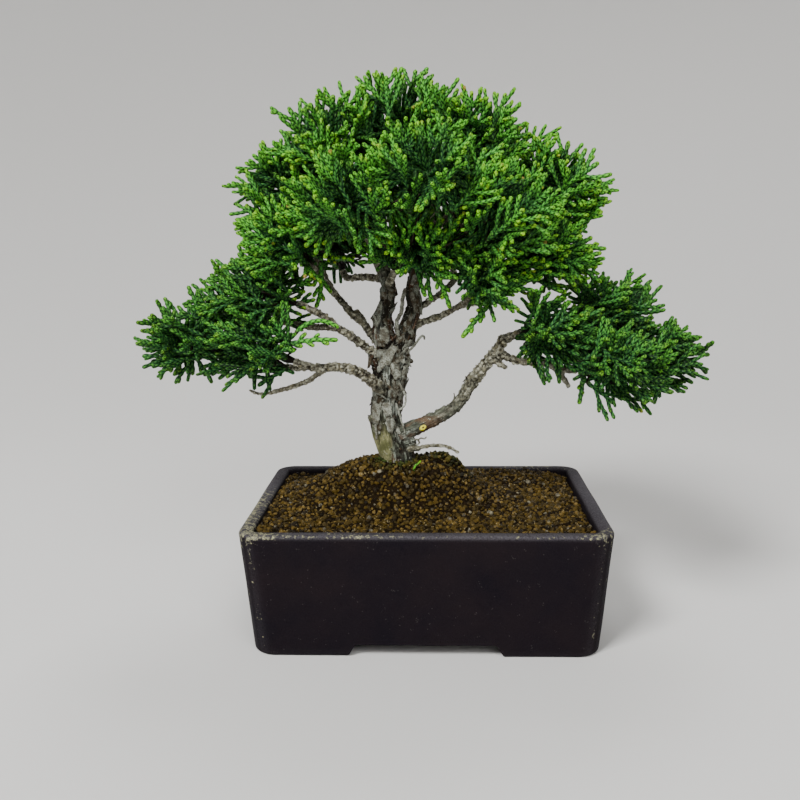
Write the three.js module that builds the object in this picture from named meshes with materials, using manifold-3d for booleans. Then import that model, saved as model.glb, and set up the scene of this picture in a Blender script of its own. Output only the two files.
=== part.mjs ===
// A kishu juniper bonsai that grows in a rectangular pot of unglazed clay.
// Millimetres, +Z up, the front towards -Y. The origin is on the surface that the pot stands on,
// under the middle of the pot.

import * as THREE from "three";
import { mergeVertices } from "three/addons/utils/BufferGeometryUtils.js";
import Module from "manifold-3d";

const wasm = await Module();
wasm.setup();

// Clearance between pieces that touch
const GAP = 0.3;

// Pot
const POT_WIDTH = 86;
const POT_DEPTH = 64;
const POT_HEIGHT = 30;
const POT_TAPER = 2.5; // how far each wall leans in from rim to foot
const POT_CORNER = 5.5; // radius of the upright edges
const POT_WALL = 3.5;
const POT_FLOOR = 3; // clay under the soil
const RIM_ROUND = 0.6; // chamfer that stands for the worn rim
const FOOT_HEIGHT = 3;
const FOOT_WIDTH = 22; // length of a foot along X
const FOOT_DEPTH = 16; // length of a foot along Y
const FOOT_SLOPE = 2.5; // how far a foot widens towards the floor of the pot
const DRAIN_RADIUS = 4.5;
const DRAIN_OFFSET = 19;
const CORNER_STEPS = 3;
const INNER_CORNER = 1.5; // smallest radius of the upright edges inside
const FLOOR_CURVE = [1.2, 1.5]; // how far the walls curve in to the floor, and from what height
const CUT_PAST = 1; // how far a cut runs out past the clay

// Plastic net over each drain hole
const NET_SIDE = 14;
const NET_THICKNESS = 0.8;
const NET_MESHES = 2; // openings along each side
const NET_BAR = 1.2;

// Soil
const SOIL_EDGE = 28.4; // level at the rim, halfway round
const SOIL_TILT_X = -0.016; // the soil lies higher to the left and to the front
const SOIL_TILT_Y = -0.018;
const SOIL_CELL = 2.9; // spacing of the grain relief
const GRAIN_RISE = 0.75;
const GRAIN_SHIFT = 0.5; // how far a grain lies from its place in the grid
const HEAP_POWER = 3; // how flat a heap is on top, and how steep at its edge

// Trunk foot
const TRUNK_X = -7.4;
const TRUNK_Y = 5;
const TRUNK_FOOT_Z = 22; // lower end of the trunk, in the soil
const TRUNK_FOOT_RADIUS = 4.4;
const TRUNK_COLLAR_RADIUS = 4.7; // where the trunk leaves the soil
const TRUNK_COLLAR_Z = 38.5;
const ABOVE_SOIL = 45; // a height that the soil doesn't reach
const TRUNK_UNEVEN = 0.07; // share of a limb's radius by which its surface goes in and out
const LIMB_UNEVEN = 0.09;
const DEAD_UNEVEN = 0.12;
const TWIG_UNEVEN = 0.05;

// Heaps of soil: the middle along X and Y, the rise, and the reach along X and Y
const SOIL_HEAPS = [
  [TRUNK_X, TRUNK_Y, 10.8, 22, 15], // round the trunk
  [5.5, 8, 2.5, 5, 4], // behind the dry root
  [20, 24, 2.4, 18, 10], // along the back
];

// Foliage
const SPRAYS = 10; // sprays that a leafy stem carries, counted all round
const SPRAY_STRIDE = 2; // every second one is a solid
const WIDEST_TILT = -0.5; // cosine of the angle between a stem and its rearmost spray
const GOLDEN_ANGLE = Math.PI * (3 - Math.sqrt(5));
const CORE_SHARE = 0.48; // size of the dense heart of a stem's foliage, as a share of its reach
const TUFT_LIMIT = -0.6; // cosine of the angle from the stem's direction past which no tuft grows
const TUFT_SHARES = [0.75, 1]; // how far the short tufts on that heart reach out
const HEART_SWELL = [0.85, 1.15]; // how uneven the heart is
const TUFT_LEAN = [0.6, 1.4]; // how far a tuft leans to one corner of its facet
const HEART_DEPTH = 3; // how far behind the middle of the heart the rearmost spray starts
const SPRAY_REACH = [0.92, 1.05]; // where a spray ends, as a share of the stem's reach
const SPRAY_BOW = 0.14; // how far a spray bows forward, and then down, as shares of its length
const SPRAY_DROOP = 0.1;
const STEM_SHOWN = 3; // bare wood between the branch and the foliage's heart
const STEM_RADIUS = 0.9;
const SHOOT_WIDTH = 1.3;
const SHOOT_THICKNESS = 1.2;
const SHOOT_LENGTH = 8; // a side shoot, which is longer near the foot of its spray than at the tip
const FOOT_TO_TIP = [1.2, 0.35];
const SHOOT_SPREAD = [0.85, 1.15];
const TIP_WIDTH = 0.8; // width of the axis at its tip, as a share of its width
const SHOOT_PITCH = 2.2; // along the axis, from one side shoot to the next on the other side
const BARE_SHARE = 0.32; // share of a spray's axis below its first side shoot
const LEAFY_SHARE = 0.94; // and below its last
const SHOOT_ANGLE = THREE.MathUtils.degToRad(44);
const LOWER_NOTCH = 0.6; // where the edges of a side shoot meet the axis, below and above its root
const UPPER_NOTCH = 1.4;

const CHANCE_STEPS = [127.1, 311.7, 74.7, 269.5];

// A number from 0 to 1 that always comes out the same for the same keys
function chance(...keys) {
  const wave = Math.sin(keys.reduce((sum, key, i) => sum + key * CHANCE_STEPS[i], 0)) * 43758.5453;
  return wave - Math.floor(wave);
}

const between = (low, high, share) => low + (high - low) * share;
const vector = ([x, y, z]) => new THREE.Vector3(x, y, z);

// A solid for manifold-3d from a closed three.js geometry
function solidOf(geometry) {
  const bare = geometry.clone().deleteAttribute("normal").deleteAttribute("uv");
  const merged = mergeVertices(bare, 1e-4);
  return new wasm.Manifold(
    new wasm.Mesh({
      numProp: 3,
      vertProperties: merged.attributes.position.array,
      triVerts: new Uint32Array(merged.index.array),
    }),
  );
}

function geometryOf(solid) {
  const { vertProperties, triVerts } = solid.getMesh();
  const geometry = new THREE.BufferGeometry();
  geometry.setAttribute("position", new THREE.BufferAttribute(vertProperties, 3));
  geometry.setIndex(new THREE.BufferAttribute(triVerts, 1));
  geometry.computeVertexNormals();
  return geometry;
}

const joined = (solids) => solids.reduce((all, solid) => all.add(solid));

// A closed solid through rings of points, each ring anticlockwise seen from the end it leads to
function loft(rings) {
  const count = rings[0].length;
  const faces = [];
  for (let ring = 0; ring + 1 < rings.length; ring++) {
    for (let i = 0; i < count; i++) {
      const here = ring * count + i;
      const next = ring * count + ((i + 1) % count);
      faces.push(here, next, next + count, here, next + count, here + count);
    }
  }
  const last = (rings.length - 1) * count;
  for (let i = 1; i + 1 < count; i++) faces.push(0, i + 1, i, last, last + i, last + i + 1);
  const geometry = new THREE.BufferGeometry().setFromPoints(rings.flat());
  geometry.setIndex(faces);
  return geometry;
}

// A direction square to another one
function anySideOf(direction) {
  const steep = Math.abs(direction.z) > 0.9;
  return new THREE.Vector3(steep ? 1 : 0, 0, steep ? 0 : 1).cross(direction).normalize();
}

// Rings of a round limb through points, square to its run. Uneven gives the wood its flutes and knobs.
function limbRings(points, radii, sides, uneven = 0, seed = 0) {
  const side = new THREE.Vector3();
  return points.map((point, i) => {
    const ahead = points[Math.min(i + 1, points.length - 1)];
    const behind = points[Math.max(i - 1, 0)];
    const along = ahead.clone().sub(behind).normalize();
    if (i === 0) side.copy(anySideOf(along));
    else side.addScaledVector(along, -side.dot(along)).normalize();
    const across = along.clone().cross(side);
    return Array.from({ length: sides }, (_, k) => {
      const angle = (2 * Math.PI * k) / sides;
      const radius = radii[i] * (1 + uneven * (2 * chance(seed, i, k) - 1));
      return point
        .clone()
        .addScaledVector(side, radius * Math.cos(angle))
        .addScaledVector(across, radius * Math.sin(angle));
    });
  });
}

// Pot

function roundedRectangle(halfWidth, halfDepth, radius, z) {
  const ring = [];
  for (let corner = 0; corner < 4; corner++) {
    const middleX = (corner === 0 || corner === 3 ? 1 : -1) * (halfWidth - radius);
    const middleY = (corner < 2 ? 1 : -1) * (halfDepth - radius);
    for (let step = 0; step <= CORNER_STEPS; step++) {
      const angle = ((corner + step / CORNER_STEPS) * Math.PI) / 2;
      ring.push(
        new THREE.Vector3(middleX + radius * Math.cos(angle), middleY + radius * Math.sin(angle), z),
      );
    }
  }
  return ring;
}

// The pot's outline at a height, moved inwards by an inset
function potRing(z, inset) {
  const lean = POT_TAPER * (1 - z / POT_HEIGHT) + inset;
  const radius = Math.max(POT_CORNER - inset, INNER_CORNER);
  return roundedRectangle(POT_WIDTH / 2 - lean, POT_DEPTH / 2 - lean, radius, z);
}

const POT_FLOOR_Z = FOOT_HEIGHT + POT_FLOOR;

// The space inside the pot, made smaller on all sides by a clearance. Its walls go straight up to the
// top, and the rings of a rim may follow.
function potInside(clearance, top, ...rim) {
  const wall = POT_WALL + clearance;
  const floor = POT_FLOOR_Z + clearance;
  const [inwards, upwards] = FLOOR_CURVE;
  const walls = [potRing(floor, wall + inwards), potRing(floor + upwards, wall), potRing(top, wall)];
  return solidOf(loft([...walls, ...rim]));
}

// The arch between two feet, as a bar that runs right through under the pot
function footArch(halfSpan, length) {
  const outline = new THREE.Shape([
    new THREE.Vector2(-halfSpan, -CUT_PAST),
    new THREE.Vector2(halfSpan, -CUT_PAST),
    new THREE.Vector2(halfSpan, 0),
    new THREE.Vector2(halfSpan - FOOT_SLOPE, FOOT_HEIGHT),
    new THREE.Vector2(FOOT_SLOPE - halfSpan, FOOT_HEIGHT),
    new THREE.Vector2(-halfSpan, 0),
  ]);
  return new THREE.ExtrudeGeometry(outline, { depth: length, bevelEnabled: false })
    .rotateX(Math.PI / 2)
    .translate(0, length / 2, 0);
}

function pot() {
  const body = solidOf(
    loft([
      potRing(0, RIM_ROUND),
      potRing(RIM_ROUND, 0),
      potRing(POT_HEIGHT - RIM_ROUND, 0),
      potRing(POT_HEIGHT, RIM_ROUND),
    ]),
  );
  const across = footArch(POT_WIDTH / 2 - POT_TAPER - FOOT_WIDTH, POT_DEPTH);
  const along = footArch(POT_DEPTH / 2 - POT_TAPER - FOOT_DEPTH, POT_WIDTH).rotateZ(Math.PI / 2);
  const wornRim = potRing(POT_HEIGHT + RIM_ROUND, POT_WALL - 2 * RIM_ROUND);
  const inside = potInside(0, POT_HEIGHT - RIM_ROUND, wornRim);
  let shell = body.subtract(inside).subtract(solidOf(across)).subtract(solidOf(along));
  for (const side of [-1, 1]) {
    const drain = new THREE.CylinderGeometry(DRAIN_RADIUS, DRAIN_RADIUS, POT_HEIGHT / 2, 16)
      .rotateX(Math.PI / 2)
      .translate(side * DRAIN_OFFSET, 0, POT_FLOOR_Z);
    shell = shell.subtract(solidOf(drain));
  }
  return geometryOf(shell);
}

function drainNet(side) {
  const pitch = (NET_SIDE - NET_BAR) / NET_MESHES;
  const middle = (index) => (index - (NET_MESHES - 1) / 2) * pitch;
  let net = solidOf(new THREE.BoxGeometry(NET_SIDE, NET_SIDE, NET_THICKNESS));
  for (let row = 0; row < NET_MESHES; row++) {
    for (let column = 0; column < NET_MESHES; column++) {
      const opening = new THREE.BoxGeometry(pitch - NET_BAR, pitch - NET_BAR, 2 * NET_THICKNESS);
      net = net.subtract(solidOf(opening.translate(middle(column), middle(row), 0)));
    }
  }
  return geometryOf(net).translate(side * DRAIN_OFFSET, 0, POT_FLOOR_Z + GAP + NET_THICKNESS / 2);
}

// Soil

function soilLevel(x, y) {
  const heaps = SOIL_HEAPS.map(([middleX, middleY, rise, reachX, reachY]) => {
    const distance = Math.hypot((x - middleX) / reachX, (y - middleY) / reachY);
    return rise * Math.exp(-(distance ** HEAP_POWER));
  });
  const even = SOIL_EDGE + SOIL_TILT_X * x + SOIL_TILT_Y * y;
  return heaps.reduce((level, heap) => level + heap, even);
}

// A block whose top has a low pyramid for each grain
function soilBlock() {
  const columns = Math.ceil(POT_WIDTH / SOIL_CELL);
  const rows = Math.ceil(POT_DEPTH / SOIL_CELL);
  const points = [];
  const faces = [];
  const at = (layer, column, row) => (layer * (rows + 1) + row) * (columns + 1) + column;
  for (let layer = 0; layer < 2; layer++) {
    for (let row = 0; row <= rows; row++) {
      for (let column = 0; column <= columns; column++) {
        const shift = (key) => between(-GRAIN_SHIFT, GRAIN_SHIFT, chance(column, row, key));
        const x = (column - columns / 2) * SOIL_CELL + shift(1);
        const y = (row - rows / 2) * SOIL_CELL + shift(2);
        const grain = (column + row) % 2 ? GRAIN_RISE * between(0.5, 1, chance(column, row, 3)) : 0;
        points.push(new THREE.Vector3(x, y, layer ? soilLevel(x, y) - GRAIN_RISE / 2 + grain : 0));
      }
    }
  }
  // A quad with its corners anticlockwise, split on the diagonal that joins the two high corners
  const quad = (a, b, c, d, turned) => {
    if (turned) faces.push(a, b, d, b, c, d);
    else faces.push(a, b, c, a, c, d);
  };
  for (let row = 0; row < rows; row++) {
    for (let column = 0; column < columns; column++) {
      const even = (column + row) % 2 === 0;
      const [top, bottom] = [1, 0].map((layer) => [
        at(layer, column, row),
        at(layer, column + 1, row),
        at(layer, column + 1, row + 1),
        at(layer, column, row + 1),
      ]);
      quad(...top, even);
      quad(...bottom.reverse(), even);
    }
  }
  for (let column = 0; column < columns; column++) {
    quad(at(0, column, 0), at(0, column + 1, 0), at(1, column + 1, 0), at(1, column, 0));
    quad(at(0, column + 1, rows), at(0, column, rows), at(1, column, rows), at(1, column + 1, rows));
  }
  for (let row = 0; row < rows; row++) {
    quad(at(0, 0, row + 1), at(0, 0, row), at(1, 0, row), at(1, 0, row + 1));
    quad(at(0, columns, row), at(0, columns, row + 1), at(1, columns, row + 1), at(1, columns, row));
  }
  const geometry = new THREE.BufferGeometry().setFromPoints(points);
  geometry.setIndex(faces);
  return geometry;
}

function soil() {
  const depth = ABOVE_SOIL - TRUNK_FOOT_Z + GAP;
  const radius = TRUNK_COLLAR_RADIUS * (1 + TRUNK_UNEVEN) + GAP;
  const hole = new THREE.CylinderGeometry(radius, radius, depth, 16)
    .rotateX(Math.PI / 2)
    .translate(TRUNK_X, TRUNK_Y, ABOVE_SOIL - depth / 2);
  let bed = solidOf(soilBlock()).intersect(potInside(GAP, ABOVE_SOIL)).subtract(solidOf(hole));
  for (const side of [-1, 1]) {
    const room = NET_SIDE + 2 * GAP;
    const pocket = new THREE.BoxGeometry(room, room, 2 * (NET_THICKNESS + 2 * GAP));
    bed = bed.subtract(solidOf(pocket.translate(side * DRAIN_OFFSET, 0, POT_FLOOR_Z)));
  }
  return geometryOf(bed);
}

// Wood. Each limb is a list of [x, y, z, radius], from its root inside the limb that carries it.

const TRUNK = [
  [TRUNK_X, TRUNK_Y, TRUNK_FOOT_Z, TRUNK_FOOT_RADIUS],
  [TRUNK_X, TRUNK_Y, TRUNK_COLLAR_Z, TRUNK_COLLAR_RADIUS],
  [-8, 5, 40.8, 4.4],
  [-9.2, 5, 43.7, 4.2],
  [-10.3, 5, 47.7, 4.0],
  [-10.6, 5, 51.6, 4.1],
  [-10, 5, 55.6, 3.9],
  [-9.5, 4.5, 59.6, 3.8],
  [-9.2, 4.5, 63.4, 4.4],
  [-8.9, 4.5, 67, 3.6],
];

const LIMBS = {
  leftLeader: [
    [-9.2, 4.5, 64, 3.0],
    [-9.8, 4.5, 68.6, 2.8],
    [-10.9, 5, 71.8, 2.6],
    [-10.9, 6, 75.3, 2.3],
    [-9.9, 7, 79, 2.1],
    [-9.6, 8, 83.6, 1.9],
    [-11.2, 10, 88.5, 1.7],
    [-13.8, 12, 94.9, 1.5],
    [-15.5, 13, 101, 1.2],
  ],
  rightLeader: [
    [-8.8, 4.5, 64, 3.0],
    [-7.4, 4.5, 67.3, 2.8],
    [-5.5, 4, 70.4, 2.6],
    [-4, 4, 74.5, 2.3],
    [-2.9, 4.5, 78.7, 2.1],
    [-3.2, 5, 82.9, 2.0],
    [-1.4, 6, 89.4, 1.8],
    [1.1, 7, 96, 1.6],
    [0.5, 7, 103, 1.2],
  ],
  lowRight: [
    [-8.6, 4.8, 44.6, 2.6],
    [-3.4, 3, 47.2, 2.1],
    [-0.3, 1.5, 48.9, 1.85],
    [3.5, 0, 51, 1.7],
    [7.1, -1, 53.5, 1.6],
    [9.3, -2, 56.5, 1.6],
    [11.4, -3, 60, 1.6],
    [14.3, -4, 64.3, 1.5],
    [17.2, -5, 67.9, 1.5],
    [19, -6.5, 71.8, 1.2],
  ],
  lowRightFork: [
    [16.6, -4.8, 67.2, 1.1],
    [18.8, -6, 67.1, 1.1],
    [22.7, -8, 66.1, 1.0],
    [27.3, -10, 66.1, 1.0],
    [31.3, -12, 65, 0.95],
  ],
  lowLeft: [
    [-10.4, 4.6, 56.2, 1.7],
    [-11.8, 0, 58.5, 1.6],
    [-14.8, -3, 61.7, 1.4],
    [-17.7, -5, 63.6, 1.25],
    [-20.9, -6, 64.5, 1.15],
    [-23.8, -7, 64.6, 1.0],
    [-28, -8, 64.8, 0.95],
  ],
  middleLeft: [
    [-9.8, 4.6, 63.6, 1.4],
    [-13.7, 1, 67.5, 1.2],
    [-16.4, 0, 69.7, 1.1],
    [-19.4, -2, 72.3, 1.05],
    [-21.8, -3, 73.8, 1.0],
    [-24.3, -4, 76.3, 0.95],
    [-27.2, -5, 78.3, 0.9],
  ],
  upperLeft: [
    [-10.3, 5, 67.8, 1.3],
    [-13.8, 6, 71, 1.1],
    [-15.8, 7, 73.7, 1.05],
    [-18.6, 8, 75.9, 1.0],
    [-20.8, 9, 78.3, 0.95],
    [-22.9, 10, 80.7, 0.9],
    [-25.3, 11, 83.7, 0.9],
  ],
  backLeft: [
    [-9.8, 8.2, 84.6, 1.1],
    [-14.6, 14, 85.3, 1.0],
    [-21, 18, 84.9, 0.95],
  ],
  frontRight: [
    [-5.2, 4.2, 71.2, 1.0],
    [-1.7, 3, 74, 0.9],
    [2.7, 1, 75.8, 0.9],
    [5.7, 0, 77.3, 0.85],
    [9.6, -2, 79.4, 0.85],
    [13, -4, 79.8, 0.8],
  ],
  backRight: [
    [-3.6, 4.4, 76, 1.0],
    [-0.9, 6, 78.4, 0.9],
    [3.8, 9, 81.2, 0.9],
    [7.6, 12, 84.5, 0.85],
  ],
};

// Dead wood that carries no foliage any more, and the dry root at the foot
const BARE_LIMBS = {
  deadLowLeft: [
    [-24, -7, 64.6, 0.8],
    [-28.5, -7, 61.4, 0.7],
    [-33.9, -6, 59.3, 0.6],
    [-40.5, -5, 57.7, 0.5],
    [-43.9, -4, 58.5, 0.4],
  ],
  upperLeftStub: [
    [-13.6, 6, 71, 0.8],
    [-16.4, 7.6, 75.4, 0.7],
    [-17.9, 8.4, 77.4, 0.5],
  ],
  forkStub: [
    [30.4, -11.5, 65.4, 0.8],
    [32.6, -13, 62.7, 0.7],
    [33.8, -13.5, 60.4, 0.5],
  ],
  lowRightStub: [
    [16, -4.6, 66.3, 0.8],
    [18.4, -5.2, 64.8, 0.7],
    [19.8, -5.5, 64.1, 0.55],
  ],
  trunkStub: [
    [-9.6, 4.6, 46.4, 1.2],
    [-13.6, 2.4, 49.6, 0.9],
    [-14.6, 2, 50.8, 0.6],
  ],
  dryRoot: [
    [-6.4, 4, 41.4, 1.0],
    [-2.3, 0, 42.7, 0.6],
    [0.5, -1, 43.5, 0.55],
    [3.3, -2, 43.9, 0.55],
    [5.8, -3, 43.6, 0.5],
    [8.3, -4, 42.4, 0.4],
  ],
};

// A leafy stem: the middle of its foliage, how far that reaches along X, Y and Z, and the branch that
// carries it, from its root in another limb. The branch ends just short of the stem.
const LEAFY_STEMS = {
  crown_top: {
    middle: [-6, 2, 122],
    reach: [14, 13, 14],
    branch: [[0.6, 7, 101.5, 1.1], [-2, 5.2, 107, 1.0]],
  },
  crown_top_left: {
    middle: [-22, -2, 117.5],
    reach: [13.5, 13, 13],
    branch: [[-15.2, 12.8, 99.5, 1.1], [-17.4, 7.5, 105.5, 1.0]],
  },
  crown_top_right: {
    middle: [11, 0, 118],
    reach: [13.5, 13, 13],
    branch: [[0.6, 7, 100.5, 1.1], [4.6, 5, 107, 1.0]],
  },
  crown_left: {
    middle: [-33.5, 1, 107],
    reach: [14, 13, 12],
    branch: [[-25.3, 11, 83.7, 0.9], [-28.4, 9.5, 91, 0.9], [-30, 6.5, 97, 0.9]],
  },
  crown_left_low: {
    middle: [-31, -8, 95],
    reach: [13.5, 12, 9.5],
    branch: [[-22.9, 10, 80.7, 0.9], [-26.2, 3.5, 85.5, 0.9]],
  },
  crown_front_left: {
    middle: [-17, -19, 103.5],
    reach: [14, 13, 13],
    branch: [[-11.2, 10, 88.5, 1.1], [-12.6, 1.5, 93, 1.0], [-14, -6, 97.5, 0.95]],
  },
  crown_front: {
    middle: [1, -22, 109],
    reach: [14, 13, 13],
    branch: [[-1.2, 6, 90.5, 1.1], [-1.2, -1.5, 97, 1.0], [-0.4, -8, 101.5, 0.95]],
  },
  crown_front_right: {
    middle: [17, -17, 101],
    reach: [14, 13, 12],
    branch: [[0.6, 6.8, 94.5, 1.1], [6.5, 0.5, 96, 1.0], [10.8, -6.4, 97.5, 0.95]],
  },
  crown_right: {
    middle: [30, 1, 107],
    reach: [14, 13.5, 11.5],
    branch: [[1, 7, 95.8, 1.1], [9, 5.6, 98.5, 1.0], [16.5, 4, 101.5, 0.95]],
  },
  crown_right_low: {
    middle: [29, -7, 91.5],
    reach: [12, 12, 9.5],
    branch: [[12.4, -3.6, 79.8, 0.85], [17, -4.6, 83, 0.85], [20.5, -5.4, 86, 0.85]],
  },
  crown_heart: {
    middle: [-2, -11, 93],
    reach: [13, 11, 8],
    branch: [[-9.6, 7.6, 82.6, 1.0], [-8.4, 2, 86, 0.9]],
  },
  crown_low_right: {
    middle: [14, -14, 87.5],
    reach: [10, 10, 7.5],
    branch: [[8.6, -1.6, 78.8, 0.85], [10.6, -6.4, 81.4, 0.85]],
  },
  crown_back_left: {
    middle: [-24, 21, 108],
    reach: [15, 13.5, 13.5],
    branch: [[-14.4, 12.5, 97, 1.1], [-16.6, 15, 100.5, 1.0]],
  },
  crown_back: {
    middle: [-4, 22.5, 114],
    reach: [15, 13.5, 14],
    branch: [[0.8, 7, 99, 1.1], [-0.6, 12.6, 103.5, 1.0]],
  },
  crown_back_right: {
    middle: [16, 21, 110],
    reach: [15, 13.5, 13.5],
    branch: [[1, 7, 97.4, 1.1], [6, 11.4, 100.5, 1.0]],
  },
  crown_back_low: {
    middle: [5, 22.5, 94],
    reach: [15, 12.5, 9.5],
    branch: [[7.6, 12, 84.5, 0.85], [7, 15, 87, 0.85]],
  },
  crown_back_low_left: {
    middle: [-24, 22.5, 94],
    reach: [13.5, 12, 9.5],
    branch: [[-21, 18, 84.9, 0.95], [-22, 19.6, 86, 0.9]],
  },
  left_shoulder: {
    middle: [-40, -3, 83],
    reach: [14.2, 12, 9.4],
    branch: [[-26, -4.6, 77.5, 0.9], [-28.9, -4.7, 79, 0.85]],
  },
  left_middle: {
    middle: [-40, -11, 70],
    reach: [14, 12, 9.5],
    branch: [[-27.4, -7.8, 64.8, 0.9], [-29.8, -8.3, 65.5, 0.85]],
  },
  left_tip: {
    middle: [-57.6, -8, 72],
    reach: [12, 12, 8.5],
    branch: [
      [-27, -7.8, 64.8, 0.85],
      [-35, -2.6, 64, 0.85],
      [-43.5, -2, 65.5, 0.85],
      [-47.5, -4, 67, 0.85],
    ],
  },
  left_back: {
    middle: [-49, 13, 76],
    reach: [14, 12.5, 10],
    branch: [[-21.8, -3, 73.8, 0.9], [-29, 3, 73.5, 0.85], [-36, 7.6, 74, 0.85]],
  },
  right_shoulder: {
    middle: [44, 0, 78],
    reach: [13.5, 12.5, 9],
    branch: [[18.6, -6, 70.8, 1.1], [25, -2, 73, 1.0], [31.6, -0.8, 75, 0.9]],
  },
  right_tip: {
    middle: [56.5, -3, 66.5],
    reach: [12, 12.5, 8.5],
    branch: [
      [27.3, -10, 66.1, 0.9],
      [34, -5.6, 66, 0.9],
      [40, -3.6, 65.6, 0.85],
      [44.6, -3, 66, 0.85],
    ],
  },
  right_front: {
    middle: [43, -20.5, 67],
    reach: [13, 12, 9.5],
    branch: [[31.3, -12, 65, 0.9], [34, -13.6, 64.8, 0.85]],
  },
  right_near: {
    middle: [29, -15, 74],
    reach: [11, 11, 9],
    branch: [[18.8, -6.2, 71, 0.9], [20.6, -8, 72.4, 0.85]],
  },
  right_back: {
    middle: [48, 14, 71],
    reach: [14, 12.5, 10],
    branch: [[25, -2, 73, 0.9], [31.6, 4.6, 71.6, 0.9], [37, 8.6, 71, 0.85]],
  },
};

// The direction in which a leafy stem leaves its branch, and the place where it does
function stemSeat({ middle, reach, branch }) {
  const heart = vector(middle);
  const outward = heart.clone().sub(vector(branch.at(-1))).normalize();
  const coreReach = CORE_SHARE / outward.clone().divide(vector(reach)).length();
  return { heart, outward, seat: heart.clone().addScaledVector(outward, -coreReach - STEM_SHOWN) };
}

const branches = Object.values(LEAFY_STEMS).map((stem) => {
  const { seat } = stemSeat(stem);
  return [...stem.branch, [seat.x, seat.y, seat.z, STEM_RADIUS]];
});

function limb(route, sides, uneven, seed) {
  const points = route.map(vector);
  const radii = route.map((point) => point[3]);
  return solidOf(loft(limbRings(points, radii, sides, uneven, seed)));
}

function wood() {
  const foot = limb(TRUNK.slice(0, 2), 12, 0, 2);
  const trunk = limb(TRUNK.slice(1), 12, TRUNK_UNEVEN, 1);
  const sidesOf = (route) => (route[1][3] > 2 ? 8 : 6);
  const limbs = Object.values(LIMBS).map((route, i) => limb(route, sidesOf(route), LIMB_UNEVEN, 10 + i));
  const dead = Object.values(BARE_LIMBS).map((route, i) => limb(route, 4, DEAD_UNEVEN, 30 + i));
  const twigs = branches.map((route, i) => limb(route, 4, TWIG_UNEVEN, 50 + i));
  return geometryOf(joined([foot, trunk, ...limbs, ...dead, ...twigs]));
}

// Foliage

// Half the thickness of a shoot, corner to corner
const SHOOT_ROOM = Math.hypot(SHOOT_WIDTH, SHOOT_THICKNESS) / 2;

// What is already there: straight rods with a radius, each with the name of the piece it belongs to
const taken = [];

function take(owner, points, radii = null) {
  for (let i = 0; i + 1 < points.length; i++) {
    const rod = new THREE.Line3(points[i].clone(), points[i + 1].clone());
    taken.push({ owner, rod, radius: radii ? Math.max(radii[i], radii[i + 1]) : SHOOT_ROOM });
  }
}

function isClear(owner, points) {
  for (let i = 0; i + 1 < points.length; i++) {
    const rod = new THREE.Line3(points[i], points[i + 1]);
    for (const other of taken) {
      const room = SHOOT_ROOM + other.radius + GAP;
      if (other.owner !== owner && rod.distanceSqToLine3(other.rod) < room * room) return false;
    }
  }
  return true;
}

// The largest share of its length at which a shoot touches nothing of another piece, or 0
function grown(owner, shapeAt) {
  const size = [1, 0.85, 0.7, 0.55].find((share) => isClear(owner, shapeAt(share)));
  if (size) take(owner, shapeAt(size));
  return size ?? 0;
}

// Spray number i of a leafy stem: a bent axis from the heart of the foliage to its outer reach.
// The sprays lie evenly round the stem's own direction.
function sprayCurve(stem, seed, i) {
  const { heart, outward } = stemSeat(stem);
  const cosTilt = between(1, WIDEST_TILT, (i + 0.5) / SPRAYS);
  const sinTilt = Math.sqrt(1 - cosTilt * cosTilt);
  const turn = GOLDEN_ANGLE * i + 2 * Math.PI * chance(seed, 1);
  const side = anySideOf(outward);
  const across = outward.clone().cross(side);
  const away = outward
    .clone()
    .multiplyScalar(cosTilt)
    .addScaledVector(side, sinTilt * Math.cos(turn))
    .addScaledVector(across, sinTilt * Math.sin(turn));
  const reach = away.multiply(vector(stem.reach));
  const tip = heart.clone().addScaledVector(reach, between(...SPRAY_REACH, chance(seed, i, 2)));
  const base = heart.clone().addScaledVector(outward, (-HEART_DEPTH * (1 - cosTilt)) / 2);
  const length = tip.distanceTo(base);
  const bend = base
    .clone()
    .lerp(tip, 0.5)
    .addScaledVector(outward, SPRAY_BOW * length)
    .add(new THREE.Vector3(0, 0, -SPRAY_DROOP * length));
  return new THREE.QuadraticBezierCurve3(base, bend, tip);
}

// The sheet in which a spray's side shoots lie: a place at a share of the axis, then so far forward
// and sideways from there, and lifted out of the sheet. Size is the share of the axis that has grown.
function spraySheet(curve, roll, size) {
  const start = curve.getTangent(0);
  const flat = anySideOf(start).applyAxisAngle(start, roll);
  return (share, ahead, aside, lift = 0) => {
    const forward = curve.getTangent(share * size);
    const sideways = flat.clone().addScaledVector(forward, -flat.dot(forward)).normalize();
    const square = forward.clone().cross(sideways);
    return curve
      .getPoint(share * size)
      .addScaledVector(forward, ahead)
      .addScaledVector(sideways, aside)
      .addScaledVector(square, lift);
  };
}

// The side shoots of a spray, which leave its axis to the left and right by turns
function sideShoots(span, seed, i) {
  const count = Math.floor(((LEAFY_SHARE - BARE_SHARE) * span) / SHOOT_PITCH);
  return Array.from({ length: count }, (_, k) => {
    const share = BARE_SHARE + (k * SHOOT_PITCH) / span;
    const hand = k % 2 ? 1 : -1;
    const spread = between(...SHOOT_SPREAD, chance(seed, i, k, 5));
    return { share, hand, length: SHOOT_LENGTH * between(...FOOT_TO_TIP, share) * spread };
  });
}

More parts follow.
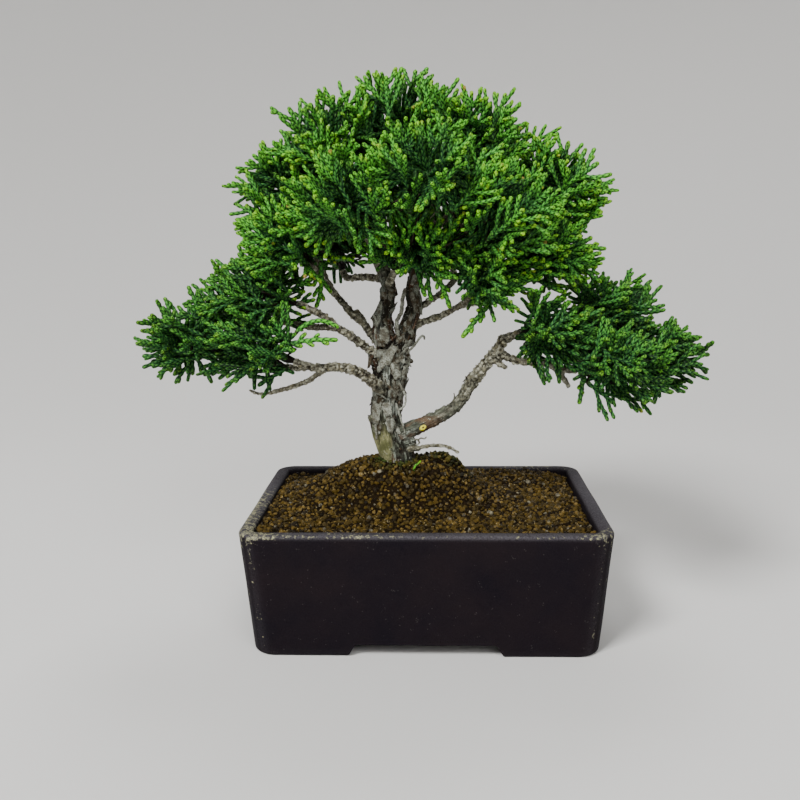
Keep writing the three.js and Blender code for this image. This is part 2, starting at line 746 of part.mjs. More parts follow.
// The outline of one side of a spray, from its foot to its tip, as [share, ahead, aside] points
function sprayEdge(hand, shoots) {
  const half = SHOOT_WIDTH / 2;
  const cos = Math.cos(SHOOT_ANGLE);
  const sin = Math.sin(SHOOT_ANGLE);
  const edge = [[0, 0, hand * half]];
  for (const { share, length } of shoots) {
    edge.push([share, -LOWER_NOTCH, hand * half]);
    edge.push([share, length * cos, hand * length * sin]);
  }
  if (shoots.length) edge.push([shoots.at(-1).share, UPPER_NOTCH, hand * half]);
  edge.push([1, 0, hand * half * TIP_WIDTH]);
  return edge;
}

// A spray as one thin blade with a lobe for each side shoot
function sprayBlade(sheet, span, shoots) {
  const side = (hand) => sprayEdge(hand, shoots.filter((shoot) => shoot.hand === hand));
  const outline = [...side(-1), ...side(1).reverse()];
  const flat = outline.map(([share, ahead, aside]) => new THREE.Vector2(share * span + ahead, aside));
  const split = THREE.ShapeUtils.triangulateShape(flat, []);
  const half = SHOOT_THICKNESS / 2;
  const face = (lift) => outline.map(([share, ahead, aside]) => sheet(share, ahead, aside, lift));
  const count = outline.length;
  const faces = split.flatMap(([a, b, c]) => [a + count, b + count, c + count, c, b, a]);
  for (let i = 0; i < count; i++) {
    const next = (i + 1) % count;
    faces.push(i, next, next + count, i, next + count, i + count);
  }
  const geometry = new THREE.BufferGeometry().setFromPoints([...face(-half), ...face(half)]);
  geometry.setIndex(faces);
  return solidOf(geometry);
}

// The dense heart of a stem's foliage: a rough ball, with a pointed tuft on each facet that doesn't
// face the branch. Place gives the point in a direction, at a share of the stem's reach.
function leafyHeart(stem, seed) {
  const { heart, outward } = stemSeat(stem);
  const bare = new THREE.IcosahedronGeometry(1, 0).deleteAttribute("normal").deleteAttribute("uv");
  const ball = mergeVertices(bare);
  const directions = Array.from({ length: ball.attributes.position.count }, (_, v) =>
    new THREE.Vector3().fromBufferAttribute(ball.attributes.position, v),
  );
  const swell = directions.map((_, v) => CORE_SHARE * between(...HEART_SWELL, chance(seed, v, 6)));
  const index = Array.from(ball.index.array);
  const facets = Array.from({ length: index.length / 3 }, (_, n) => index.slice(3 * n, 3 * n + 3));
  const tufts = facets.map((facet, n) => {
    const direction = new THREE.Vector3();
    facet.forEach((v, corner) => {
      direction.addScaledVector(directions[v], between(...TUFT_LEAN, chance(seed, n, corner, 7)));
    });
    direction.normalize();
    const towardsBranch = direction.dot(outward) < TUFT_LIMIT;
    return { direction, share: towardsBranch ? 0 : between(...TUFT_SHARES, chance(seed, n, 8)) };
  });
  const reach = vector(stem.reach);
  const place = (direction, share) => direction.clone().multiply(reach).multiplyScalar(share).add(heart);
  return { corners: directions.map((direction, v) => place(direction, swell[v])), facets, tufts, place };
}

function foliage() {
  const stems = Object.entries(LEAFY_STEMS).map(([name, stem], seed) => ({ name, stem, seed, parts: [] }));
  for (const route of [TRUNK, ...Object.values(LIMBS), ...Object.values(BARE_LIMBS), ...branches]) {
    take("wood", route.map(vector), route.map((point) => point[3] * (1 + DEAD_UNEVEN)));
  }
  const hearts = [];
  for (const { name, stem, seed, parts } of stems) {
    const { heart, outward, seat } = stemSeat(stem);
    const foot = seat.clone().addScaledVector(outward, GAP);
    parts.push(solidOf(loft(limbRings([foot, heart], [STEM_RADIUS, STEM_RADIUS], 5))));
    take(name, [foot, heart], [STEM_RADIUS, STEM_RADIUS]);
    hearts.push({ name, parts, ...leafyHeart(stem, seed) });
  }
  for (const { name, place } of hearts) {
    const middle = place(new THREE.Vector3(), 0);
    const across = place(new THREE.Vector3(0, 1, 0), CORE_SHARE).distanceTo(middle);
    for (const end of [-1, 1]) {
      const tip = place(new THREE.Vector3(end, 0, 0), CORE_SHARE);
      take(name, [middle, middle.clone().lerp(tip, 0.35)], [across, across]);
    }
  }
  for (const { name, parts, place, corners, facets, tufts } of hearts) {
    const points = [...corners];
    const faces = [];
    facets.forEach(([a, b, c], n) => {
      const { direction, share } = tufts[n];
      const at = (part) => place(direction, between(CORE_SHARE, share, part));
      const rod = (size) => [at(0.6 * size), at(size)];
      const size = share ? grown(name, rod) : 0;
      if (!size) faces.push(a, b, c);
      else faces.push(a, b, points.length, b, c, points.length, c, a, points.length);
      if (size) points.push(rod(size)[1]);
    });
    const geometry = new THREE.BufferGeometry().setFromPoints(points);
    geometry.setIndex(faces);
    parts.push(solidOf(geometry));
  }
  const sprays = [];
  for (const { name, stem, seed, parts } of stems) {
    for (let i = 0; i < SPRAYS; i += SPRAY_STRIDE) {
      const curve = sprayCurve(stem, seed, i);
      const size = grown(name, (share) => [0, 0.5, 1].map((u) => curve.getPoint(u * share)));
      if (!size) continue;
      const sheet = spraySheet(curve, 2 * Math.PI * chance(seed, i, 3), size);
      sprays.push({ name, seed, parts, sheet, i, span: curve.getLength() * size });
    }
  }
  for (const { name, seed, parts, sheet, i, span } of sprays) {
    const shoots = sideShoots(span, seed, i).filter((shoot) => {
      const ahead = shoot.length * Math.cos(SHOOT_ANGLE);
      const aside = shoot.hand * shoot.length * Math.sin(SHOOT_ANGLE);
      const rod = (size) => [sheet(shoot.share, 0, 0), sheet(shoot.share, ahead * size, aside * size)];
      shoot.length *= grown(name, rod);
      return shoot.length > 0;
    });
    parts.push(sprayBlade(sheet, span, shoots));
  }
  return stems.map(({ name, parts }) => ({ name, geometry: geometryOf(joined(parts)) }));
}

// The whole object

const CLAY = new THREE.MeshStandardMaterial({ color: 0x4a3f44, roughness: 0.75 });
const NET = new THREE.MeshStandardMaterial({ color: 0x1b1c1b, roughness: 0.6 });
const GRAINS = new THREE.MeshStandardMaterial({ color: 0x6f4c22, roughness: 0.95 });
const BARK = new THREE.MeshStandardMaterial({ color: 0x857d6c, roughness: 0.85 });
const LEAVES = new THREE.MeshStandardMaterial({ color: 0x2f6a2b, roughness: 0.6 });

const bonsai = new THREE.Group();

function add(name, geometry, material) {
  const mesh = new THREE.Mesh(geometry, material.clone());
  mesh.name = name;
  bonsai.add(mesh);
}

add("pot", pot(), CLAY);
add("drain_net_left", drainNet(-1), NET);
add("drain_net_right", drainNet(1), NET);
add("soil", soil(), GRAINS);
add("trunk_and_branches", wood(), BARK);
for (const { name, geometry } of foliage()) add(`foliage_${name}`, geometry, LEAVES);

export default bonsai;
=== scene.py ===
import math

import bmesh
import bpy
import numpy as np
from mathutils import Matrix, Vector, noise


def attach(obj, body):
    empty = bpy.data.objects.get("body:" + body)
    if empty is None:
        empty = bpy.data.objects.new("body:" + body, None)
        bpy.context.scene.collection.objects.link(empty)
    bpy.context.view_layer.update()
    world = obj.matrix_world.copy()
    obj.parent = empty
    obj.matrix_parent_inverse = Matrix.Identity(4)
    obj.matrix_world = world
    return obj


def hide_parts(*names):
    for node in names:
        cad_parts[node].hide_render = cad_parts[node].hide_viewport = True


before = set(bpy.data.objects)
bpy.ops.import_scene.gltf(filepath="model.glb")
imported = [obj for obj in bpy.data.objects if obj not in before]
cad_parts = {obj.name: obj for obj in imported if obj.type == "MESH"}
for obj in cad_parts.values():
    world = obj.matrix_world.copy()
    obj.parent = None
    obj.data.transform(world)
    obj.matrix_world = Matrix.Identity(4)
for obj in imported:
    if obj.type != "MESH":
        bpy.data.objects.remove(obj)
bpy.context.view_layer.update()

# Pot
# The pot is pressed from dark purple-brown clay and fired without glaze. Its walls lean in to four
# corner feet, the rim is rounded by hand, and lime from the watering has dried on it.

MM = 0.001
POT_WIDTH, POT_DEPTH, POT_HEIGHT = 86, 64, 30
POT_TAPER, POT_CORNER, POT_WALL = 2.5, 5.5, 3.5
POT_INSIDE_FLOOR = 6
FOOT_HEIGHT, FOOT_WIDTH, FOOT_DEPTH, FOOT_SLOPE = 3, 22, 16, 2.5
DRAIN_RADIUS, DRAIN_OFFSET = 4.5, 19
DRAIN_SIDES = 32
WORN_EDGE = 0.9
HAND_WAVE, HAND_WAVE_LENGTH = 0.16, 17  # how far the pressed walls are from flat, and over what length
CORNER_STEPS, FRONT_STEPS, SIDE_STEPS = 8, 26, 18
# Dried lime on the rim: the middle along X and Y, the reach and the amount
LIME_SPOTS = (
    (-41, -30, 9, 0.75),
    (-42, -8, 16, 0.6),
    (41, -30, 6, 0.5),
    (-16, -31, 9, 0.3),
    (30, 31, 12, 0.4),
)


def made_piece(name, points, faces, materials, slot, smooth=True, **marks):
    """A mesh from points in millimetres. Each mark is a number per point for the material."""
    mesh = bpy.data.meshes.new(name)
    mesh.from_pydata((np.asarray(points) * MM).tolist(), [], faces)
    for mark, values in marks.items():
        layer = mesh.attributes.new(mark, "FLOAT", "POINT")
        layer.data.foreach_set("value", np.asarray(values, np.float32))
    mesh.polygons.foreach_set("use_smooth", [smooth] * len(mesh.polygons))
    for material in materials:
        mesh.materials.append(material)
    piece = bpy.data.objects.new(name, mesh)
    bpy.context.collection.objects.link(piece)
    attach(piece, "root")
    return piece


def feed(tree, socket, value):
    if isinstance(value, bpy.types.NodeSocket):
        tree.links.new(value, socket)
    elif isinstance(value, tuple) and len(value) == 3 and socket.type == "RGBA":
        socket.default_value = (*value, 1)
    else:
        socket.default_value = value


def add_node(tree, kind, *values, out=0, **more):
    """Adds a shader node. Small names are its settings, and capital ones its sockets."""
    node = tree.nodes.new("ShaderNode" + kind)
    for key, value in more.items():
        if key[0].islower():
            setattr(node, key, value)
    for i, value in enumerate(values):
        feed(tree, node.inputs[i], value)
    for key, value in more.items():
        if key[0].isupper():
            feed(tree, node.inputs[key.replace("_", " ")], value)
    return node.outputs[out]


def maths(tree, way, *values):
    return add_node(tree, "Math", *values, operation=way)


def mixed(tree, share, first, second, way="MIX"):
    node = tree.nodes.new("ShaderNodeMix")
    node.data_type, node.blend_type = "RGBA", way
    for socket, value in zip((node.inputs[0], node.inputs[6], node.inputs[7]), (share, first, second)):
        feed(tree, socket, value)
    return node.outputs[2]


def rising(tree, value, low, high, least=0.0, most=1.0):
    return add_node(tree, "MapRange", value, low, high, least, most)


def mark_of(tree, name):
    return add_node(tree, "Attribute", out=2, attribute_name=name)


def new_effect(name, given, gives):
    """A node group that puts out numbers which change over the surface."""
    group = bpy.data.node_groups.new(name, "ShaderNodeTree")
    for label, value in given.items():
        group.interface.new_socket(label, in_out="INPUT", socket_type="NodeSocketFloat").default_value = value
    for label in gives:
        group.interface.new_socket(label, in_out="OUTPUT", socket_type="NodeSocketFloat")
    start, end = group.nodes.new("NodeGroupInput"), group.nodes.new("NodeGroupOutput")
    return group, start.outputs, end.inputs


def effect(tree, group, **values):
    node = tree.nodes.new("ShaderNodeGroup")
    node.node_tree = group
    for key, value in values.items():
        feed(tree, node.inputs[key.replace("_", " ")], value)
    return node.outputs


def new_material(name, **fixed):
    material = bpy.data.materials.new(name)
    material.use_nodes = True
    shader = material.node_tree.nodes["Principled BSDF"]
    for key, value in fixed.items():
        feed(material.node_tree, shader.inputs[key.replace("_", " ")], value)
    return material.node_tree, shader, material


def raised(tree, shader, height, depth_mm, strength=1.0):
    bump = add_node(tree, "Bump", Strength=strength, Distance=depth_mm * MM, Height=height)
    tree.links.new(bump, shader.inputs["Normal"])


# Broad blotches and fine grain, which every surface here has
surface, given, gives = new_effect(
    "Blotches and grain", {"Blotch Size": 0.008, "Grain Size": 0.0004}, ("Blotches", "Grain")
)
place = add_node(surface, "TexCoord", out=3)
for label, detail, low, high in (("Blotch", 3.0, 0.35, 0.65), ("Grain", 2.0, 0.3, 0.7)):
    scale = maths(surface, "DIVIDE", 1.0, given[label + " Size"])
    cloud = add_node(surface, "TexNoise", Vector=place, Scale=scale, Detail=detail)
    surface.links.new(rising(surface, cloud, low, high), gives["Blotches" if label == "Blotch" else "Grain"])

# Small pale specks, as a share of the surface
specks, given, gives = new_effect("Specks", {"Size": 0.0008, "Share": 0.2}, ("Specks",))
place = add_node(specks, "TexCoord", out=3)
cells = add_node(specks, "TexVoronoi", Vector=place, Scale=maths(specks, "DIVIDE", 1.0, given["Size"]))
wide = maths(specks, "DIVIDE", 0.4, given["Size"])
scatter = add_node(specks, "TexNoise", Vector=place, Scale=wide, Detail=1.0)
few = maths(specks, "GREATER_THAN", maths(specks, "ADD", scatter, given["Share"]), 0.75)
dots = maths(specks, "LESS_THAN", cells, 0.3)
specks.links.new(maths(specks, "MULTIPLY", dots, few), gives["Specks"])

clay, shader, clay_material = new_material("unglazed clay", Specular_IOR_Level=0.05)
spots = effect(clay, surface, Blotch_Size=0.014, Grain_Size=0.00035)
colour = mixed(clay, spots["Blotches"], (0.0038, 0.0028, 0.005), (0.0078, 0.005, 0.0064))
colour = mixed(clay, rising(clay, spots["Grain"], 0.0, 1.0, 0.0, 0.3), colour, (0.014, 0.0105, 0.0125))
dots = effect(clay, specks, Size=0.0005, Share=0.08)
colour = mixed(clay, maths(clay, "MULTIPLY", dots["Specks"], 0.2), colour, (0.12, 0.11, 0.1))
# Rubbed edges are lighter. Along the rim this lightening is also a painted highlight.
worn_and_highlit = maths(clay, "MULTIPLY", mark_of(clay, "wear"), rising(clay, spots["Grain"], 0.1, 0.7, 0.35, 0.9))
colour = mixed(clay, worn_and_highlit, colour, (0.066, 0.061, 0.068))
crust = add_node(clay, "TexNoise", Vector=add_node(clay, "TexCoord", out=3), Scale=1150.0, Detail=6.0)
crust = maths(clay, "ADD", crust, rising(clay, mark_of(clay, "lime"), 0.0, 1.0, -0.3, 0.09))
lime = rising(clay, crust, 0.5, 0.6)
lime_tone = mixed(clay, rising(clay, spots["Grain"], 0.35, 0.7), (0.1, 0.094, 0.085), (0.27, 0.26, 0.15))
colour = mixed(clay, lime, colour, lime_tone)
feed(clay, shader.inputs["Base Color"], colour)
rough = rising(clay, spots["Blotches"], 0.0, 1.0, 0.6, 0.75)
feed(clay, shader.inputs["Roughness"], maths(clay, "MAXIMUM", rough, maths(clay, "MULTIPLY", lime, 0.9)))
relief = maths(clay, "ADD", maths(clay, "MULTIPLY", spots["Grain"], 0.35), lime)
raised(clay, shader, relief, 0.12)


def pot_ring(z, inset):
    """The pot's outline at a height, anticlockwise, with its corners rounded."""
    lean = POT_TAPER * (1 - z / POT_HEIGHT) + inset
    radius = max(POT_CORNER - inset, 1.5)
    half_x, half_y = POT_WIDTH / 2 - lean - radius, POT_DEPTH / 2 - lean - radius
    ring = []
    corners = ((half_x, half_y), (-half_x, half_y), (-half_x, -half_y), (half_x, -half_y))
    for corner, (x, y) in enumerate(corners):
        for angle in np.linspace(corner, corner + 1, CORNER_STEPS + 1) * math.pi / 2:
            ring.append((x + radius * math.cos(angle), y + radius * math.sin(angle), z))
        start_x, start_y, _ = ring[-1]
        if corner % 2:
            end_x, end_y, steps = start_x, -start_y, SIDE_STEPS
        else:
            end_x, end_y, steps = -start_x, start_y, FRONT_STEPS
        for share in np.linspace(0, 1, steps + 1)[1:-1]:
            ring.append((start_x + (end_x - start_x) * share, start_y + (end_y - start_y) * share, z))
    return ring


def worn_corner(z, inset, z_way, inset_way):
    """Rings round a worn edge, from one face to the next."""
    return [
        (z + z_way * WORN_EDGE * (1 - math.cos(a)), inset + inset_way * WORN_EDGE * (1 - math.sin(a)))
        for a in np.linspace(0, math.pi / 2, 5)
    ]


levels = worn_corner(0, 0, 1, 1) + [(z, 0) for z in np.arange(2, 28.6, 1.9)]
levels += worn_corner(POT_HEIGHT, 0, -1, 1)[::-1] + worn_corner(POT_HEIGHT, POT_WALL, -1, -1)
levels += [(z, POT_WALL) for z in (26, 20, 14, POT_INSIDE_FLOOR + 1.5)]
levels += [(POT_INSIDE_FLOOR, POT_WALL + 1.2)]
rings = [pot_ring(z, inset) for z, inset in levels]
count = len(rings[0])
faces = [tuple(range(count))[::-1], tuple(range(count * (len(rings) - 1), count * len(rings)))]
for ring in range(len(rings) - 1):
    for i in range(count):
        here, after = ring * count + i, ring * count + (i + 1) % count
        faces.append((here, after, after + count, here + count))


def arch_bar(outline, depth, turned):
    """A bar through the pot, from an outline in its end plane."""
    points = [(x, y, z) for y in (-depth / 2, depth / 2) for x, z in outline]
    if turned:
        points = [(-y, x, z) for x, y, z in points]
    count = len(outline)
    sides = [(i, i + count, (i + 1) % count + count, (i + 1) % count) for i in range(count)]
    return points, [tuple(range(count)), tuple(range(count, 2 * count))[::-1], *sides]


def arch(half_span):
    """The outline of the gap between two feet, S-shaped at each end."""
    curve = [
        (half_span - FOOT_SLOPE * a / math.pi, FOOT_HEIGHT * (1 - math.cos(a)) / 2)
        for a in np.linspace(0, math.pi, 9)
    ]
    half = [(half_span, -1), *curve]
    return half + [(-x, z) for x, z in half[::-1]]


def cut_away(points, faces, cutters):
    """The solid of points and faces, less each cutter."""
    mesh = bpy.data.meshes.new("raw")
    mesh.from_pydata(points, [], faces)
    solid = bpy.data.objects.new("raw", mesh)
    bpy.context.collection.objects.link(solid)
    tools = []
    for tool_points, tool_faces in cutters:
        tool_mesh = bpy.data.meshes.new("cutter")
        tool_mesh.from_pydata(tool_points, [], tool_faces)
        tool = bpy.data.objects.new("cutter", tool_mesh)
        bpy.context.collection.objects.link(tool)
        cut = solid.modifiers.new("cut", "BOOLEAN")
        cut.object, cut.operation, cut.solver = tool, "DIFFERENCE", "EXACT"
        tools.append(tool)
    shown = solid.evaluated_get(bpy.context.evaluated_depsgraph_get())
    result = bpy.data.meshes.new_from_object(shown)
    for extra in (solid, *tools):
        bpy.data.objects.remove(extra)
    return result


def round_bar(x):
    """A round bar through the floor of the pot."""
    n = DRAIN_SIDES
    ring = [
        (x + DRAIN_RADIUS * math.cos(a), DRAIN_RADIUS * math.sin(a))
        for a in np.arange(n) * 2 * math.pi / n
    ]
    points = [(px, py, z) for z in (-1, POT_INSIDE_FLOOR + 1) for px, py in ring]
    sides = [(i, (i + 1) % n, (i + 1) % n + n, i + n) for i in range(n)]
    return points, [tuple(range(n))[::-1], tuple(range(n, 2 * n)), *sides]


cutters = [
    arch_bar(arch(POT_WIDTH / 2 - POT_TAPER - FOOT_WIDTH), POT_DEPTH + 2, False),
    arch_bar(arch(POT_DEPTH / 2 - POT_TAPER - FOOT_DEPTH), POT_WIDTH + 2, True),
    round_bar(-DRAIN_OFFSET),
    round_bar(DRAIN_OFFSET),
]
body = cut_away([point for ring in rings for point in ring], faces, cutters)
points = np.array([vertex.co for vertex in body.vertices])
noise.seed_set(11)  # so that the walls wave in the same way each time
wave = np.array([noise.noise_vector(Vector(point) / HAND_WAVE_LENGTH) for point in points]) * HAND_WAVE
points[:, :2] += wave[:, :2]
lean = POT_TAPER * (1 - points[:, 2] / POT_HEIGHT)
from_wall_x = np.abs(POT_WIDTH / 2 - lean - np.abs(points[:, 0]))
from_wall_y = np.abs(POT_DEPTH / 2 - lean - np.abs(points[:, 1]))
from_rim = POT_HEIGHT - points[:, 2]
outer = np.minimum(from_wall_x, from_wall_y) < 1.2
upright = outer * np.exp(-((from_wall_x + from_wall_y - 3.2) ** 2) / 0.8)
on_rim = np.exp(-((from_rim / 0.45) ** 2))
outer_edge = outer * np.exp(-(((from_rim - 0.4) / 0.45) ** 2))
# Lighter where the pot is rubbed: the rim, its outer edge, the corners and the feet. Along the rim and its
# outer edge this is also a painted highlight.
wear = np.clip(0.75 * on_rim + 0.6 * outer_edge + 0.16 * upright + 0.3 * np.exp(-points[:, 2] / 0.5), 0, 1)
lime = 0.24 * on_rim + 0.42 * outer_edge + 0.55 * upright
for x, y, reach, amount in LIME_SPOTS:
    spread = np.exp(-((points[:, 0] - x) ** 2 + (points[:, 1] - y) ** 2) / reach**2)
    lime += amount * spread * np.exp(-((from_rim / 2.2) ** 2))
pot = made_piece(
    "clay_pot",
    points,
    [tuple(face.vertices) for face in body.polygons],
    [clay_material],
    "clay",
    wear=wear,
    lime=np.clip(lime, 0, 1),
)
pot.data.set_sharp_from_angle(angle=math.radians(40))
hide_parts("pot")

# Drain nets
# A square of black plastic net lies over each of the two drain holes and keeps the grains in.
# It is moulded in one piece and only held down by the soil.

plastic, shader, plastic_material = new_material("black plastic net", Base_Color=(0.012, 0.013, 0.012))
spots = effect(plastic, surface, Blotch_Size=0.003, Grain_Size=0.0003)
feed(plastic, shader.inputs["Roughness"], rising(plastic, spots["Blotches"], 0.0, 1.0, 0.42, 0.6))
raised(plastic, shader, spots["Grain"], 0.03)
for side in ("left", "right"):
    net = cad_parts["drain_net_" + side]
    net.data.materials.clear()
    net.data.materials.append(plastic_material)

# Soil
# Small grains of fired clay, brown and ochre with a few grey ones, fill the pot and are heaped up
# round the trunk. The bed below is the mass of them, painted near black as the shade in the gaps between the
# loose grains, and each grain on top lies loose.

SOIL_EDGE, SOIL_TILT_X, SOIL_TILT_Y = 28.4, -0.016, -0.018  # the level at the middle, and its slopes
TRUNK_X, TRUNK_Y, TRUNK_COLLAR, TRUNK_COLLAR_Z = -7.4, 5, 4.7, 38.5
# Heaps: the middle along X and Y, the rise, and the reach along X and Y
HEAPS = ((TRUNK_X, TRUNK_Y, 10.8, 22, 15), (5.5, 8, 2.5, 5, 4), (20, 24, 2.4, 18, 10))
GRAIN_PITCH, GRAIN_SHIFT = 1.02, 0.3
LARGE_GRAINS = 70
SOIL_GAP = 0.6  # from the wall of the pot to the middles of the outermost grains


def soil_level(x, y):
    level = SOIL_EDGE + SOIL_TILT_X * x + SOIL_TILT_Y * y
    for middle_x, middle_y, rise, reach_x, reach_y in HEAPS:
        far = np.hypot((x - middle_x) / reach_x, (y - middle_y) / reach_y)
        level = level + rise * np.exp(-(far**3))
    return level


grains, shader, grain_material = new_material("fired clay grains", Specular_IOR_Level=0.14)
ramp = grains.nodes.new("ShaderNodeValToRGB")
stops = [
    (0.0, (0.006, 0.004, 0.002)),
    (0.2, (0.016, 0.0095, 0.002)),
    (0.45, (0.042, 0.0265, 0.002)),
    (0.7, (0.084, 0.05, 0.004)),
    (0.86, (0.17, 0.108, 0.022)),
    (0.93, (0.06, 0.056, 0.045)),
    (1.0, (0.24, 0.215, 0.14)),
]
while len(ramp.color_ramp.elements) < len(stops):
    ramp.color_ramp.elements.new(0.5)
for element, (position, tone) in zip(ramp.color_ramp.elements, stops):
    element.position = position
    element.color = (*tone, 1)
spots = effect(grains, surface, Blotch_Size=0.0009, Grain_Size=0.00018)
tone = maths(grains, "ADD", mark_of(grains, "tint"), rising(grains, spots["Blotches"], 0.0, 1.0, -0.06, 0.06))
feed(grains, ramp.inputs[0], tone)
dusk = rising(grains, spots["Grain"], 0.0, 1.0, 0.0, 0.5)
colour = mixed(grains, dusk, ramp.outputs[0], (0.008, 0.006, 0.003))
moss = mixed(grains, spots["Blotches"], (0.008, 0.022, 0.004), (0.03, 0.065, 0.01))
colour = mixed(grains, maths(grains, "MULTIPLY", mark_of(grains, "mossy"), 0.8), colour, moss)
dots = effect(grains, specks, Size=0.0005, Share=0.14)
colour = mixed(grains, maths(grains, "MULTIPLY", dots["Specks"], 0.5), colour, (0.36, 0.3, 0.16))
feed(grains, shader.inputs["Base Color"], colour)
feed(grains, shader.inputs["Roughness"], rising(grains, spots["Grain"], 0.0, 1.0, 0.35, 0.85))
raised(grains, shader, spots["Grain"], 0.07)

# Painted shade: the bed shows only in the gaps between the loose grains, so it is coloured near black.
shaded_bed, shader, shaded_bed_material = new_material("packed clay grains in painted shade", Specular_IOR_Level=0.05)
spots = effect(shaded_bed, surface, Blotch_Size=0.0013, Grain_Size=0.0003)
colour = mixed(shaded_bed, spots["Blotches"], (0.003, 0.0018, 0.0008), (0.016, 0.009, 0.003))
feed(shaded_bed, shader.inputs["Base Color"], mixed(shaded_bed, spots["Grain"], colour, (0.008, 0.005, 0.002)))
feed(shaded_bed, shader.inputs["Roughness"], rising(shaded_bed, spots["Grain"], 0.0, 1.0, 0.85, 1.0))
raised(shaded_bed, shader, spots["Blotches"], 0.4)
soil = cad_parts["soil"]
soil.data.materials.clear()
soil.data.materials.append(shaded_bed_material)


def ball(rounds):
    """Points and faces of a ball made of triangles."""
    shape = bmesh.new()
    bmesh.ops.create_icosphere(shape, subdivisions=rounds, radius=1)
    points = np.array([vertex.co for vertex in shape.verts])
    triangles = np.array([[vertex.index for vertex in face.verts] for face in shape.faces])
    shape.free()
    return points, triangles


def turned_any_way(random, count):
    """Rotation matrices spread over all directions."""
    q = random.normal(size=(count, 4))
    w, x, y, z = (q / np.linalg.norm(q, axis=1, keepdims=True)).T
    return np.stack(
        [
            np.stack([1 - 2 * (y * y + z * z), 2 * (x * y - z * w), 2 * (x * z + y * w)], -1),
            np.stack([2 * (x * y + z * w), 1 - 2 * (x * x + z * z), 2 * (y * z - x * w)], -1),
            np.stack([2 * (x * z - y * w), 2 * (y * z + x * w), 1 - 2 * (x * x + y * y)], -1),
        ],
        1,
    )


def scattered_grains(random, x, y, radius, sink, rounds):
    shape, triangles = ball(rounds)
    size = radius[:, None, None] * random.uniform(0.66, 1.26, (len(x), len(shape), 1))
    stretch = random.uniform(0.75, 1.2, (len(x), 1, 3))
    grain = np.einsum("nij,nkj->nki", turned_any_way(random, len(x)), shape * size * stretch)
    grain += np.stack([x, y, soil_level(x, y) + sink], -1)[:, None]
    faces = triangles[None] + np.arange(len(x))[:, None, None] * len(shape)
    tint = np.clip(random.beta(2.2, 2.0, len(x)), 0, 1)
    mossy = np.clip(1.5 - np.hypot(x - TRUNK_X + 0.4, y - TRUNK_Y + 1) / 5.6, 0, 1)
    mossy += np.exp(-(((x - 4.5) / 5) ** 2) - ((y - 6.5) / 3.5) ** 2) * 0.6
    marks = np.repeat([tint, np.clip(mossy * random.uniform(0.4, 1.3, len(x)), 0, 1)], len(shape), axis=1)
    return grain.reshape(-1, 3), faces.reshape(-1, 3), marks


random = np.random.default_rng(11)
half_x = POT_WIDTH / 2 - POT_WALL - SOIL_GAP
half_y = POT_DEPTH / 2 - POT_WALL - SOIL_GAP
rows = np.arange(-half_y, half_y, GRAIN_PITCH * 0.87)
columns = np.arange(-half_x, half_x, GRAIN_PITCH)
x, y = np.meshgrid(columns, rows)
x = x + (np.arange(len(rows)) % 2)[:, None] * GRAIN_PITCH / 2
x, y = (v.ravel() + random.uniform(-GRAIN_SHIFT, GRAIN_SHIFT, v.size) for v in (x, y))
corner_x = np.maximum(np.abs(x) - (half_x - 2), 0)
corner_y = np.maximum(np.abs(y) - (half_y - 2), 0)
open_soil = (np.hypot(corner_x, corner_y) < 2) & (np.hypot(x - TRUNK_X, y - TRUNK_Y) > TRUNK_COLLAR - 0.2)
x, y = x[open_soil], y[open_soil]
radius = 0.36 + 0.44 * random.beta(1.5, 2.6, len(x))
sink = random.uniform(-0.35, 0.25, len(x)) + 0.25 * (radius - 0.5)
small = scattered_grains(random, x, y, radius, sink, 1)
chosen = random.choice(len(x), LARGE_GRAINS, replace=False)
radius, sink = random.uniform(0.68, 0.95, LARGE_GRAINS), random.uniform(0.0, 0.3, LARGE_GRAINS)
large = scattered_grains(random, x[chosen], y[chosen], radius, sink, 2)
tint, mossy = np.concatenate([small[2], large[2]], axis=1)
made_piece(
    "loose_soil_grains",
    np.concatenate([small[0], large[0]]),
    np.concatenate([small[1], large[1] + len(small[0])]).tolist(),
    [grain_material],
    "soil_grains",
    False,
    tint=tint,
    mossy=mossy,
)

# Trunk and branches
# One grown piece of wood: a short thick trunk that forks into two leaders, and thin knobbly branches.
# Its bark is grey and silvery, in long fibres and flat plates that crack and lift, over red-brown wood.

